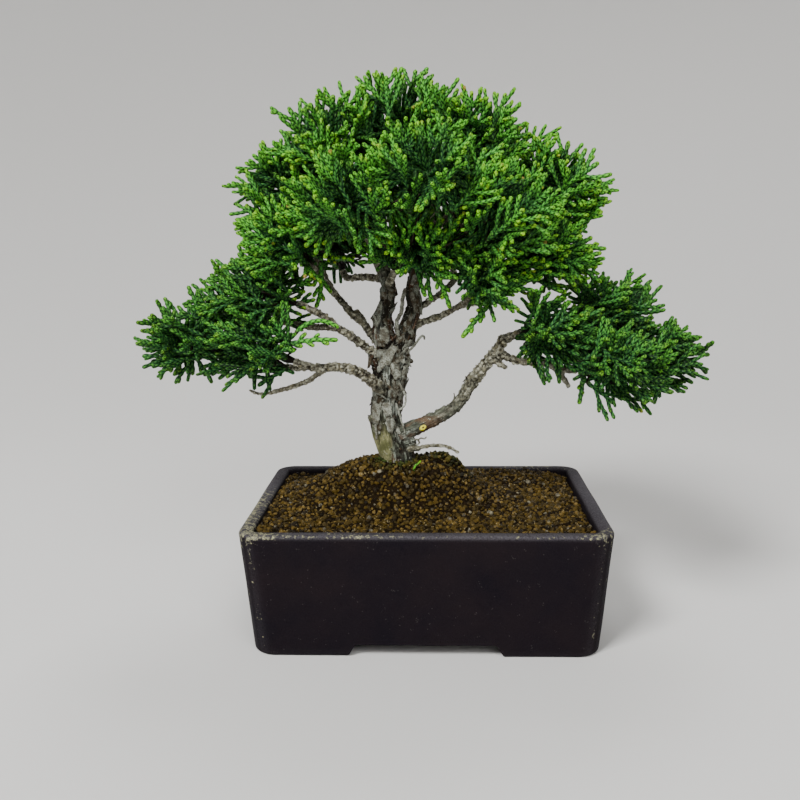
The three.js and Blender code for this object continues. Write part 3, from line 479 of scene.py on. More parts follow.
# The middle line of the trunk and of each limb, from its foot: X, Y, Z and radius
TRUNK = [
    (TRUNK_X, TRUNK_Y, 22, 4.4), (TRUNK_X, TRUNK_Y, TRUNK_COLLAR_Z, TRUNK_COLLAR), (-8, 5, 40.8, 4.4),
    (-9.2, 5, 43.7, 4.2), (-10.3, 5, 47.7, 4.0), (-10.6, 5, 51.6, 4.1), (-10, 5, 55.6, 3.9),
    (-9.5, 4.5, 59.6, 3.8), (-9.2, 4.5, 63.4, 4.4), (-8.9, 4.5, 67, 3.6),
]
LIMBS = [
    # left leader
    [(-9.2, 4.5, 64, 3.0), (-9.8, 4.5, 68.6, 2.8), (-10.9, 5, 71.8, 2.6), (-10.9, 6, 75.3, 2.3),
     (-9.9, 7, 79, 2.1), (-9.6, 8, 83.6, 1.9), (-11.2, 10, 88.5, 1.7), (-13.8, 12, 94.9, 1.5),
     (-15.5, 13, 101, 1.2)],
    # right leader
    [(-8.8, 4.5, 64, 3.0), (-7.4, 4.5, 67.3, 2.8), (-5.5, 4, 70.4, 2.6), (-4, 4, 74.5, 2.3),
     (-2.9, 4.5, 78.7, 2.1), (-3.2, 5, 82.9, 2.0), (-1.4, 6, 89.4, 1.8), (1.1, 7, 96, 1.6),
     (0.5, 7, 103, 1.2)],
    # low right branch and its fork
    [(-8.6, 4.8, 44.6, 2.6), (-3.4, 3, 47.2, 2.1), (-0.3, 1.5, 48.9, 1.85), (3.5, 0, 51, 1.7),
     (7.1, -1, 53.5, 1.6), (9.3, -2, 56.5, 1.6), (11.4, -3, 60, 1.6), (14.3, -4, 64.3, 1.5),
     (17.2, -5, 67.9, 1.5), (19, -6.5, 71.8, 1.2)],
    [(16.6, -4.8, 67.2, 1.1), (18.8, -6, 67.1, 1.1), (22.7, -8, 66.1, 1.0), (27.3, -10, 66.1, 1.0),
     (31.3, -12, 65, 0.95)],
    # left branches, from the lowest up
    [(-10.4, 4.6, 56.2, 1.7), (-11.8, 0, 58.5, 1.6), (-14.8, -3, 61.7, 1.4), (-17.7, -5, 63.6, 1.25),
     (-20.9, -6, 64.5, 1.15), (-23.8, -7, 64.6, 1.0), (-28, -8, 64.8, 0.95)],
    [(-9.8, 4.6, 63.6, 1.4), (-13.7, 1, 67.5, 1.2), (-16.4, 0, 69.7, 1.1), (-19.4, -2, 72.3, 1.05),
     (-21.8, -3, 73.8, 1.0), (-24.3, -4, 76.3, 0.95), (-27.2, -5, 78.3, 0.9)],
    [(-10.3, 5, 67.8, 1.3), (-13.8, 6, 71, 1.1), (-15.8, 7, 73.7, 1.05), (-18.6, 8, 75.9, 1.0),
     (-20.8, 9, 78.3, 0.95), (-22.9, 10, 80.7, 0.9), (-25.3, 11, 83.7, 0.9)],
    [(-9.8, 8.2, 84.6, 1.1), (-14.6, 14, 85.3, 1.0), (-21, 18, 84.9, 0.95)],
    # right branches, front and back
    [(-5.2, 4.2, 71.2, 1.0), (-1.7, 3, 74, 0.9), (2.7, 1, 75.8, 0.9), (5.7, 0, 77.3, 0.85),
     (9.6, -2, 79.4, 0.85), (13, -4, 79.8, 0.8)],
    [(-3.6, 4.4, 76, 1.0), (-0.9, 6, 78.4, 0.9), (3.8, 9, 81.2, 0.9), (7.6, 12, 84.5, 0.85)],
    # dead wood, and the dry root at the foot
    [(-24, -7, 64.6, 0.8), (-28.5, -7, 61.4, 0.7), (-33.9, -6, 59.3, 0.6), (-40.5, -5, 57.7, 0.5),
     (-43.9, -4, 58.5, 0.4)],
    [(-13.6, 6, 71, 0.8), (-16.4, 7.6, 75.4, 0.7), (-17.9, 8.4, 77.4, 0.5)],
    [(30.4, -11.5, 65.4, 0.8), (32.6, -13, 62.7, 0.7), (33.8, -13.5, 60.4, 0.5)],
    [(16, -4.6, 66.3, 0.8), (18.4, -5.2, 64.8, 0.7), (19.8, -5.5, 64.1, 0.55)],
    [(-9.6, 4.6, 46.4, 1.2), (-13.6, 2.4, 49.6, 0.9), (-14.6, 2, 50.8, 0.6)],
    [(-6.4, 4, 41.4, 1.0), (-2.3, 0, 42.7, 0.6), (0.5, -1, 43.5, 0.55), (3.3, -2, 43.9, 0.55),
     (5.8, -3, 43.6, 0.5), (8.3, -4, 42.4, 0.4)],
]
# Each leafy stem: the middle of its foliage, its reach along X, Y and Z, and the branch that carries it
LEAFY_STEMS = {
    "crown_top": ((-6, 2, 122), (14, 13, 14), [(0.6, 7, 101.5, 1.1), (-2, 5.2, 107, 1.0)]),
    "crown_top_left": (
        (-22, -2, 117.5), (13.5, 13, 13), [(-15.2, 12.8, 99.5, 1.1), (-17.4, 7.5, 105.5, 1.0)]),
    "crown_top_right": ((11, 0, 118), (13.5, 13, 13), [(0.6, 7, 100.5, 1.1), (4.6, 5, 107, 1.0)]),
    "crown_left": (
        (-33.5, 1, 107), (14, 13, 12), [(-25.3, 11, 83.7, 0.9), (-28.4, 9.5, 91, 0.9), (-30, 6.5, 97, 0.9)]),
    "crown_left_low": ((-31, -8, 95), (13.5, 12, 9.5), [(-22.9, 10, 80.7, 0.9), (-26.2, 3.5, 85.5, 0.9)]),
    "crown_front_left": (
        (-17, -19, 103.5), (14, 13, 13),
        [(-11.2, 10, 88.5, 1.1), (-12.6, 1.5, 93, 1.0), (-14, -6, 97.5, 0.95)]),
    "crown_front": (
        (1, -22, 109), (14, 13, 13), [(-1.2, 6, 90.5, 1.1), (-1.2, -1.5, 97, 1.0), (-0.4, -8, 101.5, 0.95)]),
    "crown_front_right": (
        (17, -17, 101), (14, 13, 12), [(0.6, 6.8, 94.5, 1.1), (6.5, 0.5, 96, 1.0), (10.8, -6.4, 97.5, 0.95)]),
    "crown_right": (
        (30, 1, 107), (14, 13.5, 11.5), [(1, 7, 95.8, 1.1), (9, 5.6, 98.5, 1.0), (16.5, 4, 101.5, 0.95)]),
    "crown_right_low": (
        (29, -7, 91.5), (12, 12, 9.5),
        [(12.4, -3.6, 79.8, 0.85), (17, -4.6, 83, 0.85), (20.5, -5.4, 86, 0.85)]),
    "crown_heart": ((-2, -11, 93), (13, 11, 8), [(-9.6, 7.6, 82.6, 1.0), (-8.4, 2, 86, 0.9)]),
    "crown_low_right": ((14, -14, 87.5), (10, 10, 7.5), [(8.6, -1.6, 78.8, 0.85), (10.6, -6.4, 81.4, 0.85)]),
    "crown_back_left": ((-24, 21, 108), (15, 13.5, 13.5), [(-14.4, 12.5, 97, 1.1), (-16.6, 15, 100.5, 1.0)]),
    "crown_back": ((-4, 22.5, 114), (15, 13.5, 14), [(0.8, 7, 99, 1.1), (-0.6, 12.6, 103.5, 1.0)]),
    "crown_back_right": ((16, 21, 110), (15, 13.5, 13.5), [(1, 7, 97.4, 1.1), (6, 11.4, 100.5, 1.0)]),
    "crown_back_low": ((5, 22.5, 94), (15, 12.5, 9.5), [(7.6, 12, 84.5, 0.85), (7, 15, 87, 0.85)]),
    "crown_back_low_left": ((-24, 22.5, 94), (13.5, 12, 9.5), [(-21, 18, 84.9, 0.95), (-22, 19.6, 86, 0.9)]),
    "left_shoulder": ((-40, -3, 83), (14.2, 12, 9.4), [(-26, -4.6, 77.5, 0.9), (-28.9, -4.7, 79, 0.85)]),
    "left_middle": ((-40, -11, 70), (14, 12, 9.5), [(-27.4, -7.8, 64.8, 0.9), (-29.8, -8.3, 65.5, 0.85)]),
    "left_tip": (
        (-57.6, -8, 72), (12, 12, 8.5),
        [(-27, -7.8, 64.8, 0.85), (-35, -2.6, 64, 0.85), (-43.5, -2, 65.5, 0.85), (-47.5, -4, 67, 0.85)]),
    "left_back": (
        (-49, 13, 76), (14, 12.5, 10), [(-21.8, -3, 73.8, 0.9), (-29, 3, 73.5, 0.85), (-36, 7.6, 74, 0.85)]),
    "right_shoulder": (
        (44, 0, 78), (13.5, 12.5, 9), [(18.6, -6, 70.8, 1.1), (25, -2, 73, 1.0), (31.6, -0.8, 75, 0.9)]),
    "right_tip": (
        (56.5, -3, 66.5), (12, 12.5, 8.5),
        [(27.3, -10, 66.1, 0.9), (34, -5.6, 66, 0.9), (40, -3.6, 65.6, 0.85), (44.6, -3, 66, 0.85)]),
    "right_front": ((43, -20.5, 67), (13, 12, 9.5), [(31.3, -12, 65, 0.9), (34, -13.6, 64.8, 0.85)]),
    "right_near": ((29, -15, 74), (11, 11, 9), [(18.8, -6.2, 71, 0.9), (20.6, -8, 72.4, 0.85)]),
    "right_back": (
        (48, 14, 71), (14, 12.5, 10), [(25, -2, 73, 0.9), (31.6, 4.6, 71.6, 0.9), (37, 8.6, 71, 0.85)]),
}
# Swellings: the burr under the low right branch, and the thick sides of the fork
BURRS = [
    [(-4.6, 2.8, 43, 1.5), (-2.7, 2.2, 43.4, 1.2)],
    [(-7.6, 3.2, 60, 1.7), (-6.2, 2.8, 63, 1.8), (-5.3, 2.7, 66, 1.6)],
    [(-11.9, 2.8, 60.4, 1.1), (-13, 1.9, 63.4, 1.2), (-13.9, 1.2, 66.6, 1.2)],
]
# The inner share of a stem's foliage that is its heart, and how much of the bare stem shows below it
HEART_SHARE, STEM_SHOWN, STEM_RADIUS = 0.48, 3, 0.9
WOOD_STEP = 0.9  # from ring to ring along a limb
WOOD_CELL = 0.36  # spacing of the points on the bark
RELIEF_LIMIT = 0.8
POINTS_AT_ONCE = 4000


def unit(v):
    return v / np.linalg.norm(v)


def stem_seat(middle, reach, branch):
    """The stem's direction, and where it leaves its branch."""
    outward = unit(np.array(middle, float) - branch[-1][:3])
    seat = middle - outward * (HEART_SHARE / np.linalg.norm(outward / reach) + STEM_SHOWN)
    return outward, seat


def smooth_route(route, step):
    """A limb's middle line and radius at even steps, as a smooth curve through its points."""
    route = np.array(route, float)
    ends = [2 * route[0] - route[1], *route, 2 * route[-1] - route[-2]]
    made = []
    for a, b, c, d in zip(ends, ends[1:], ends[2:], ends[3:]):
        steps = max(1, round(np.linalg.norm(c[:3] - b[:3]) / step))
        for t in np.arange(steps) / steps:
            square, cube = 2 * a - 5 * b + 4 * c - d, 3 * b - a - 3 * c + d
            curve = (2 * b + (c - a) * t + square * t**2 + cube * t**3) / 2
            curve[3] = b[3] + (c[3] - b[3]) * t
            made.append(curve)
    return np.array([*made, route[-1]])


def tube(line, sides):
    """A closed tube along a middle line, and the side that its rings start from."""
    points, radius = line[:, :3], line[:, 3]
    along = np.gradient(points, axis=0)
    along /= np.linalg.norm(along, axis=1, keepdims=True)
    side = np.cross((1, 0, 0) if abs(along[0, 2]) > 0.9 else (0, 0, 1), along[0])
    starts = []
    for direction in along:
        side = unit(side - direction * side.dot(direction))
        starts.append(side)
    starts = np.array(starts)
    across = np.cross(along, starts)
    angle = np.arange(sides) * 2 * math.pi / sides
    ring = starts[:, None] * np.cos(angle)[:, None] + across[:, None] * np.sin(angle)[:, None]
    skin = (points[:, None] + ring * radius[:, None, None]).reshape(-1, 3)
    n = len(line)
    faces = [tuple(range(sides))[::-1], tuple(range(sides * (n - 1), sides * n))]
    for k in range(n - 1):
        for i in range(sides):
            here, after = k * sides + i, k * sides + (i + 1) % sides
            faces.append((here, after, after + sides, here + sides))
    return skin, faces, along, starts, across


routes = [TRUNK, *LIMBS]
for middle, reach, branch in LEAFY_STEMS.values():
    routes.append([*branch, (*stem_seat(middle, reach, branch)[1], STEM_RADIUS)])
routes += BURRS
points, faces, lines = [], [], []
total = 0
for number, route in enumerate(routes):
    line = smooth_route(route, WOOD_STEP)
    skin, tube_faces, along, starts, across = tube(line, 20 if line[1, 3] > 2 else 12)
    points.append(skin)
    faces += [tuple(i + total for i in face) for face in tube_faces]
    total += len(skin)
    run = np.concatenate([[0], np.cumsum(np.linalg.norm(np.diff(line[:, :3], axis=0), axis=1))])
    lines.append(np.column_stack([line, along, starts, across, run, np.full(len(line), number)]))
lines = np.concatenate(lines)

mesh = bpy.data.meshes.new("raw")
mesh.from_pydata(np.concatenate(points).tolist(), [], faces)
raw = bpy.data.objects.new("raw", mesh)
bpy.context.collection.objects.link(raw)
grown = raw.modifiers.new("grown together", "REMESH")
grown.mode, grown.voxel_size = "VOXEL", WOOD_CELL
skin = bpy.data.meshes.new_from_object(raw.evaluated_get(bpy.context.evaluated_depsgraph_get()))
bpy.data.objects.remove(raw)

count = len(skin.vertices)
points, normals = np.empty(count * 3, np.float32), np.empty(count * 3, np.float32)
skin.vertices.foreach_get("co", points)
skin.vertex_normals.foreach_get("vector", normals)
points, normals = points.reshape(-1, 3), normals.reshape(-1, 3)
nearest = np.empty(count, int)
centres, radii = lines[:, :3].astype(np.float32), lines[:, 3].astype(np.float32)
for start in range(0, count, POINTS_AT_ONCE):
    part = points[start:start + POINTS_AT_ONCE]
    far = np.linalg.norm(part[:, None] - centres[None], axis=2)
    nearest[start:start + POINTS_AT_ONCE] = np.argmin(far - radii, axis=1)
# For each point of the bark, the nearest ring: its middle and radius, three directions (along the limb
# and twice across it), how far along the limb it is, and the number of the limb
near = lines[nearest]
offset = points - near[:, :3]
# Each point's place in its limb: across the limb twice, and along it
local = np.column_stack([
    np.sum(offset * near[:, 7:10], axis=1),
    np.sum(offset * near[:, 10:13], axis=1),
    near[:, 13] + np.sum(offset * near[:, 4:7], axis=1),
])
thick = near[:, 3]
local[:, :2] *= (thick / np.maximum(np.linalg.norm(local[:, :2], axis=1), 0.2))[:, None]
local += near[:, 14:15] * (7.3, 3.1, 11.7)  # so that no two limbs have the same pattern


def cloud(scale, shift=0.0):
    """A soft pattern from -1 to 1 over the bark."""
    spots = local * scale + shift
    return np.array([noise.noise(Vector(spot)) for spot in spots.tolist()])


def plates(scale):
    """How far each point is from the cracks between plates, and a number for its plate."""
    found = [noise.voronoi(Vector(spot)) for spot in (local * scale).tolist()]
    gap = np.array([far[1] - far[0] for far, _ in found])
    tone = np.array([math.sin(12.9 * spot[0].x + 78.2 * spot[0].y + 37.7 * spot[0].z) for _, spot in found])
    return gap, tone * 0.5 + 0.5


limb = near[:, 14]
burr = limb >= len(routes) - len(BURRS)
stout = np.maximum(np.clip((thick - 1.5) / 1.1, 0, 1), 0.75 * burr)
leaders = ((limb == 1) | (limb == 2)) * np.clip((points[:, 2] - 64) / 4, 0, 1)
dry_root = limb == len(LIMBS)
smooth_bough = (limb == 3) * np.clip((7 - points[:, 0]) / 6, 0, 1)
left_low = np.exp(-(((points[:, 2] - 42.5) / 6) ** 2)) * np.clip((-points[:, 0] - 8.3) / 1.4, 0, 1)
fibres = 1 - 2 * np.abs(cloud((1.25, 1.25, 0.16)))
flutes = cloud((0.32, 0.32, 0.05), 5.1)
gap, tone = plates((0.42, 0.42, 0.17))
small_gap, small_tone = plates((0.8, 0.8, 0.42))
bead_gap, bead_tone = plates((0.85, 0.85, 1.2))
crack = np.maximum(np.exp(-((gap / 0.15) ** 2)), 0.6 * np.exp(-((small_gap / 0.15) ** 2)))
relief = 0.5 * flutes + 0.2 * fibres + 0.5 * (tone - 0.5) + 0.34 * (small_tone - 0.5) - 0.5 * crack
relief *= stout * (1 - 0.85 * left_low) * (1 - 0.8 * smooth_bough)
relief += (1 - stout) * (1.05 * np.minimum(bead_gap, 0.42) + 0.36 * bead_tone - 0.42)
soft_foot = np.clip((points[:, 2] - 30) / 4, 0, 1)
relief = np.clip(relief * soft_foot, -RELIEF_LIMIT, RELIEF_LIMIT) * np.clip(thick / 1.2, 0.4, 1)
points = points + normals * relief[:, None]

bark, shader, bark_material = new_material("flaking juniper bark", Specular_IOR_Level=0.25)
spots = effect(bark, surface, Blotch_Size=0.0024, Grain_Size=0.00035)
run = add_node(bark, "Attribute", out=1, attribute_name="fibre")
strands = add_node(bark, "TexNoise", Vector=run, Scale=1.0, Detail=4.0, Roughness=0.65)
streak = rising(bark, strands, 0.36, 0.62)
edges = add_node(bark, "TexVoronoi", Vector=run, Scale=0.42, feature="DISTANCE_TO_EDGE")
scaly = rising(bark, edges, 0.0, 0.16)
place = add_node(bark, "TexCoord", out=3)
beads = rising(bark, add_node(bark, "TexVoronoi", Vector=place, Scale=1250.0), 0.3, 0.72, 1.0, 0.0)
beads = maths(bark, "MULTIPLY", beads, rising(bark, strands, 0.38, 0.56, 0.35, 1.0))
raised_part = rising(bark, mark_of(bark, "relief"), -0.28, 0.06)
knobs = maths(bark, "MULTIPLY", rising(bark, beads, 0.0, 1.0, 0.4, 1.0), raised_part)
each_bead = add_node(bark, "TexVoronoi", Vector=place, Scale=1250.0, out=1)
colour = mixed(bark, streak, (0.01, 0.0095, 0.006), (0.115, 0.128, 0.092))
silver = mixed(bark, streak, (0.055, 0.059, 0.042), (0.5, 0.54, 0.47))
colour = mixed(bark, mark_of(bark, "plate"), colour, silver)
rusty = mixed(bark, streak, (0.05, 0.016, 0.006), (0.21, 0.085, 0.03))
colour = mixed(bark, mark_of(bark, "red"), colour, rusty)
patches = maths(bark, "MULTIPLY", spots["Blotches"], streak)
algae = mixed(bark, patches, (0.085, 0.09, 0.03), (0.3, 0.29, 0.14))
colour = mixed(bark, mark_of(bark, "algae"), colour, algae)
pale_bead = mixed(bark, rising(bark, each_bead, 0.15, 0.75), (0.3, 0.27, 0.16), (0.8, 0.78, 0.6))
# On the thin branches the lumps have a pale colour of their own. Their lighter raised middles are also a
# painted highlight, and the dark bark between them is painted shade.
twig = mixed(bark, knobs, (0.035, 0.027, 0.014), pale_bead)
colour = mixed(bark, mark_of(bark, "slender"), colour, twig)
# Painted shade: the low parts of the bark's relief, its hollows and cracks, go near black, as far as the
# rough mark allows.
high = rising(bark, mark_of(bark, "relief"), -0.32, 0.12)
dark = maths(bark, "MULTIPLY", rising(bark, high, 0.0, 1.0, 0.95, 0.0), mark_of(bark, "rough"))
colour = mixed(bark, dark, colour, (0.01, 0.008, 0.004))
# The dark lines between the small scales of bark are partly the cracks' own colour and partly painted shade
# in them.
gaps = maths(bark, "MULTIPLY", maths(bark, "SUBTRACT", 1.0, scaly), mark_of(bark, "rough"))
colour = mixed(bark, maths(bark, "MULTIPLY", gaps, 0.8), colour, (0.012, 0.009, 0.005))
dots = effect(bark, specks, Size=0.00045, Share=0.16)
colour = mixed(bark, maths(bark, "MULTIPLY", dots["Specks"], 0.55), colour, (0.42, 0.44, 0.37))
feed(bark, shader.inputs["Base Color"], colour)
feed(bark, shader.inputs["Roughness"], rising(bark, spots["Grain"], 0.0, 1.0, 0.74, 0.95))
height = maths(bark, "ADD", strands, maths(bark, "MULTIPLY", spots["Grain"], 0.3))
height = maths(bark, "SUBTRACT", height, maths(bark, "MULTIPLY", gaps, 0.6))
lumps = maths(bark, "MULTIPLY", beads, mark_of(bark, "slender"))
raised(bark, shader, maths(bark, "ADD", height, lumps), 0.42)

red = np.exp(-(((points[:, 2] - 63.5) / 4) ** 2)) * np.clip((-points[:, 0] - 11.8) / 1.2, 0, 1)
red += 0.6 * stout * (small_tone < 0.12) + 0.35 * (cloud((0.16, 0.16, 0.1), 3.3) > 0.3)
red += 0.75 * leaders * np.clip(cloud((0.7, 0.7, 0.06), 8.3) * 5 - 0.3, 0, 1)
red += 0.5 * smooth_bough * np.clip(cloud((0.5, 0.5, 0.16), 1.9) * 4 + 0.4, 0, 1)
plate = stout * np.clip(tone * 1.4 + small_tone * 0.6 - 0.85, 0, 1)
slender = np.clip((1.9 - thick) / 0.5, 0, 1) * np.clip((points[:, 2] - 52) / 5, 0.3 + 0.5 * dry_root, 1)
wood = made_piece(
    "barked_trunk_and_branches",
    points,
    [tuple(face.vertices) for face in skin.polygons],
    [bark_material],
    "bark",
    relief=relief,
    rough=(1 - 0.8 * left_low) * (1 - 0.7 * smooth_bough) * np.clip(0.35 + stout, 0, 1),
    plate=plate * np.clip((points[:, 2] - 42) / 6, 0.15, 1),
    red=np.clip(red, 0, 1) * (1 - left_low),
    algae=np.clip(left_low * 1.3, 0, 1),
    slender=slender * ~burr,
)
fibre = wood.data.attributes.new("fibre", "FLOAT_VECTOR", "POINT")
fibre.data.foreach_set("vector", (local * (3.2, 3.2, 0.45)).astype(np.float32).ravel())
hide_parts("trunk_and_branches")

# Flakes and peeled strips of bark
# Old bark lifts in thin flakes and plates that hold on by one end, most of all round the fork, and in
# long narrow strips that peel off and curl. The scar where a twig was cut off the low branch is here too.

FLAKES, FORK_FLAKES = 190, 70
FLAKE_ROWS, FLAKE_COLUMNS = 6, 5
FLAKE_THICKNESS = 0.17
# Large plates: the middle, the way they run, length, width, lift and age
PLATES = (
    ((-11.0, 0.4, 65.0), (0.68, 0, 0.73), 8.0, 2.6, 0.7, 0.95),
    ((-11.7, 0.5, 66.9), (1, 0, 0.1), 4.4, 1.9, 0.4, 1.0),
    ((-7.3, 0.6, 63.8), (0.1, 0, -1), 4.4, 2.7, 0.35, 0.8),
    ((-10.9, 0.8, 70.2), (-0.1, 0, 1), 4.4, 2.0, 0.55, 0.85),
    ((-11.9, 0.6, 56.4), (1, 0, -0.2), 3.8, 1.9, 0.5, 0.95),
    ((-10.2, 0.5, 53.6), (0.2, 0, -1), 3.4, 2.1, 0.45, 1.0),
    ((-13.6, 1.2, 53.2), (0.05, 0, -1), 6.2, 2.3, 0.35, 0.75),
    ((-9.0, 0.4, 49.6), (-0.1, 0, -1), 4.2, 2.1, 0.5, 0.85),
)
# Strips: the line, the side they face, and the width
STRIPS = (
    (((-7.4, 1.6, 60.4), (-6.1, 0.7, 58.2), (-5.0, 0.9, 55.6), (-5.6, 0.8, 53.4), (-7.1, 0.9, 52.2)),
     (0, -1, 0.1), 0.5),
    (((-5.0, 2.6, 83), (-5.7, 2.0, 80.2), (-6.0, 1.8, 77.2), (-7.2, 1.5, 74.6), (-6.8, 1.6, 71.2)),
     (0.2, -1, 0), 1.0),
    (((-4.9, 2.4, 66.5), (-2.9, 1.9, 68.8), (-1.3, 1.8, 70.9), (-0.5, 1.8, 71.1), (-0.3, 1.8, 70.3)),
     (0, -1, 0.3), 0.6),
    (((-7.6, 0.9, 54.2), (-6.5, 0.6, 50.6), (-5.6, 0.7, 47.4), (-5.4, 0.9, 46.2)), (0.1, -1, 0), 0.45),
    (((-10.9, 1.1, 55.4), (-12.2, 1.0, 52), (-12.9, 1.0, 48.4), (-12.6, 0.9, 44.6)), (-0.3, -1, 0), 0.6),
    (((-12.4, 2.6, 68), (-12.9, 2.4, 71.2), (-12.5, 3.1, 74.4), (-13.2, 3.0, 76.6)), (-0.2, -1, 0), 0.55),
    # round the scar of the cut twig
    (((-3.2, 1.4, 44.5), (-2.2, 1.0, 44.8), (-1.7, 0.9, 43.9), (-2.4, 0.9, 43.3), (-3.3, 1.1, 43.7)),
     (0, -1, 0.2), 0.5),
    (((-3.6, 1.3, 43.2), (-2.6, 1.0, 42.8), (-1.6, 1.0, 42.5), (-1.8, 0.9, 41.8), (-2.9, 1.1, 41.8)),
     (0, -1, 0.2), 0.5),
    (((-2.2, 1.0, 44.6), (-1.4, 0.8, 45.1), (-0.5, 0.8, 45.0), (0.1, 0.9, 45.5)), (0, -1, 0.3), 0.4),
    # on the back
    (((-8.2, 8.4, 57), (-7.2, 9.2, 60.4), (-7.6, 9, 63.6), (-8.7, 8.7, 66)), (0.2, 1, 0), 0.6),
    (((-12.4, 7.4, 46), (-13.8, 8, 49.6), (-14, 7.6, 53)), (-0.6, 1, 0), 0.55),
)
# Flakes: how far they turn from the grain, and the least and most length, width, lift and age
FLAKE_SIZES = (
    (0.22, (1.7, 4.2), (0.7, 1.7), (0.15, 0.75), (0, 1)),
    (0.6, (0.9, 2.1), (0.5, 1.2), (0.3, 0.9), (0.2, 1)),
)


def thin_sheet(upper, out, columns):
    """A closed sheet from rows of points on its upper side, and its faces."""
    count = len(upper)
    rows = count // columns
    both = np.concatenate([upper, upper - out * FLAKE_THICKNESS])
    faces = []
    for row in range(rows - 1):
        for column in range(columns - 1):
            here = row * columns + column
            top = (here, here + 1, here + columns + 1, here + columns)
            faces += [top, tuple(i + count for i in top[::-1])]
    rim = [*range(columns), *(columns * row - 1 for row in range(2, rows + 1))]
    rim += [*range(count - 2, count - columns - 1, -1), *(columns * row for row in range(rows - 2, 0, -1))]
    faces += [(b, a, a + count, b + count) for a, b in zip(rim, rim[1:] + rim[:1])]
    return both, faces


sheets, sheet_faces, ages = [], [], []


def add_sheet(upper, out, columns, age):
    both, faces = thin_sheet(upper, out, columns)
    start = sum(len(sheet) for sheet in sheets)
    sheets.append(both)
    sheet_faces.extend(tuple(i + start for i in face) for face in faces)
    ages.append(np.full(len(both), age))


random = np.random.default_rng(29)
weight = stout**1.5 * (points[:, 2] > 46) * (1 - left_low) * (1 - smooth_bough)
near_fork = weight * np.exp(-(((points[:, 2] - 63.5) / 5) ** 2)) * np.clip((points[:, 0] + 8) / 2.5, 0.04, 1)
picks = (
    random.choice(len(points), FLAKES, p=weight / weight.sum()),
    random.choice(len(points), FORK_FLAKES, p=near_fork / near_fork.sum()),
)
shapes = []
for some, (turn, *sizes) in zip(picks, FLAKE_SIZES):
    for pick in some:
        along = unit(near[pick, 4:7] + random.normal(size=3) * turn) * random.choice((-1, 1))
        shapes.append((pick, along, *(random.uniform(least, most) for least, most in sizes)))
for spot, *shape in PLATES:
    shapes.append((np.argmin(np.linalg.norm(points - spot, axis=1)), *shape))
for pick, along, long, wide, lift, age in shapes:
    out = unit(normals[pick].astype(float))
    along = unit(along - out * out.dot(along))
    across = np.cross(out, along)
    curl = random.uniform(-0.12, 0.22)
    upper = []
    for u in np.linspace(0, 1, FLAKE_ROWS):
        half = wide / 2 * (0.45 + 0.75 * math.sin(math.pi * (0.15 + 0.75 * u))) * random.uniform(0.75, 1.2)
        for v in np.linspace(-1, 1, FLAKE_COLUMNS):
            ragged = random.uniform(-0.22, 0.22) if u in (0, 1) else 0.0
            raise_by = 0.1 + lift * u**2 + curl * v * v - (half * v) ** 2 / (2 * thick[pick] + 0.8)
            spot = points[pick] + along * long * (u - 0.3 + ragged * 0.3)
            upper.append(spot + across * half * v + out * raise_by)
    add_sheet(np.array(upper), out, FLAKE_COLUMNS, age)
for route, facing, width in STRIPS:
    line = smooth_route([(*spot, 0) for spot in route], 0.45)[:, :3]
    line += random.normal(size=line.shape) * 0.05
    along = np.gradient(line, axis=0)
    along /= np.linalg.norm(along, axis=1, keepdims=True)
    facing = unit(np.array(facing, float))
    across = np.cross(along, facing)
    across /= np.linalg.norm(across, axis=1, keepdims=True)
    taper = np.minimum(1, 0.4 + 2.5 * np.sin(np.linspace(0.05, math.pi - 0.05, len(line))))[:, None]
    edges_of = [line + across * taper * width / 2 * v - facing * 0.1 * v * v for v in (-1, 0, 1)]
    add_sheet(np.stack(edges_of, 1).reshape(-1, 3), facing, 3, random.uniform(0.5, 1.1))

peel, shader, peel_material = new_material("lifted bark", Specular_IOR_Level=0.22)
spots = effect(peel, surface, Blotch_Size=0.0012, Grain_Size=0.0002)
age = rising(peel, maths(peel, "ADD", mark_of(peel, "age"), spots["Blotches"]), 0.6, 1.7)
colour = mixed(peel, age, (0.055, 0.04, 0.021), (0.36, 0.38, 0.315))
colour = mixed(peel, rising(peel, spots["Grain"], 0.2, 0.8, 0.0, 0.7), colour, (0.035, 0.026, 0.015))
dots = effect(peel, specks, Size=0.0006, Share=0.2)
colour = mixed(peel, maths(peel, "MULTIPLY", dots["Specks"], 0.7), colour, (0.06, 0.05, 0.03))
feed(peel, shader.inputs["Base Color"], colour)
feed(peel, shader.inputs["Roughness"], rising(peel, spots["Grain"], 0.0, 1.0, 0.75, 0.95))
raised(peel, shader, spots["Grain"], 0.12)
made_piece(
    "bark_flakes_and_strips",
    np.concatenate(sheets),
    sheet_faces,
    [peel_material],
    "bark",
    age=np.concatenate(ages),
)

cut, shader, cut_material = new_material("cut wood", Specular_IOR_Level=0.25)
spots = effect(cut, surface, Blotch_Size=0.0006, Grain_Size=0.0002)
colour = mixed(cut, spots["Blotches"], (0.5, 0.44, 0.015), (0.68, 0.62, 0.08))
colour = mixed(cut, mark_of(cut, "pith"), colour, (0.05, 0.03, 0.006))
feed(cut, shader.inputs["Base Color"], colour)
feed(cut, shader.inputs["Roughness"], rising(cut, spots["Grain"], 0.0, 1.0, 0.6, 0.8))
scar_points, pith = [], []
scar_middle = np.array((-0.7, -0.35, 48.1))
facing, beside = unit(np.array((0.1, -1, 0.12))), unit(np.array((1, 0.1, 0.55)))
upward = np.cross(beside, facing)
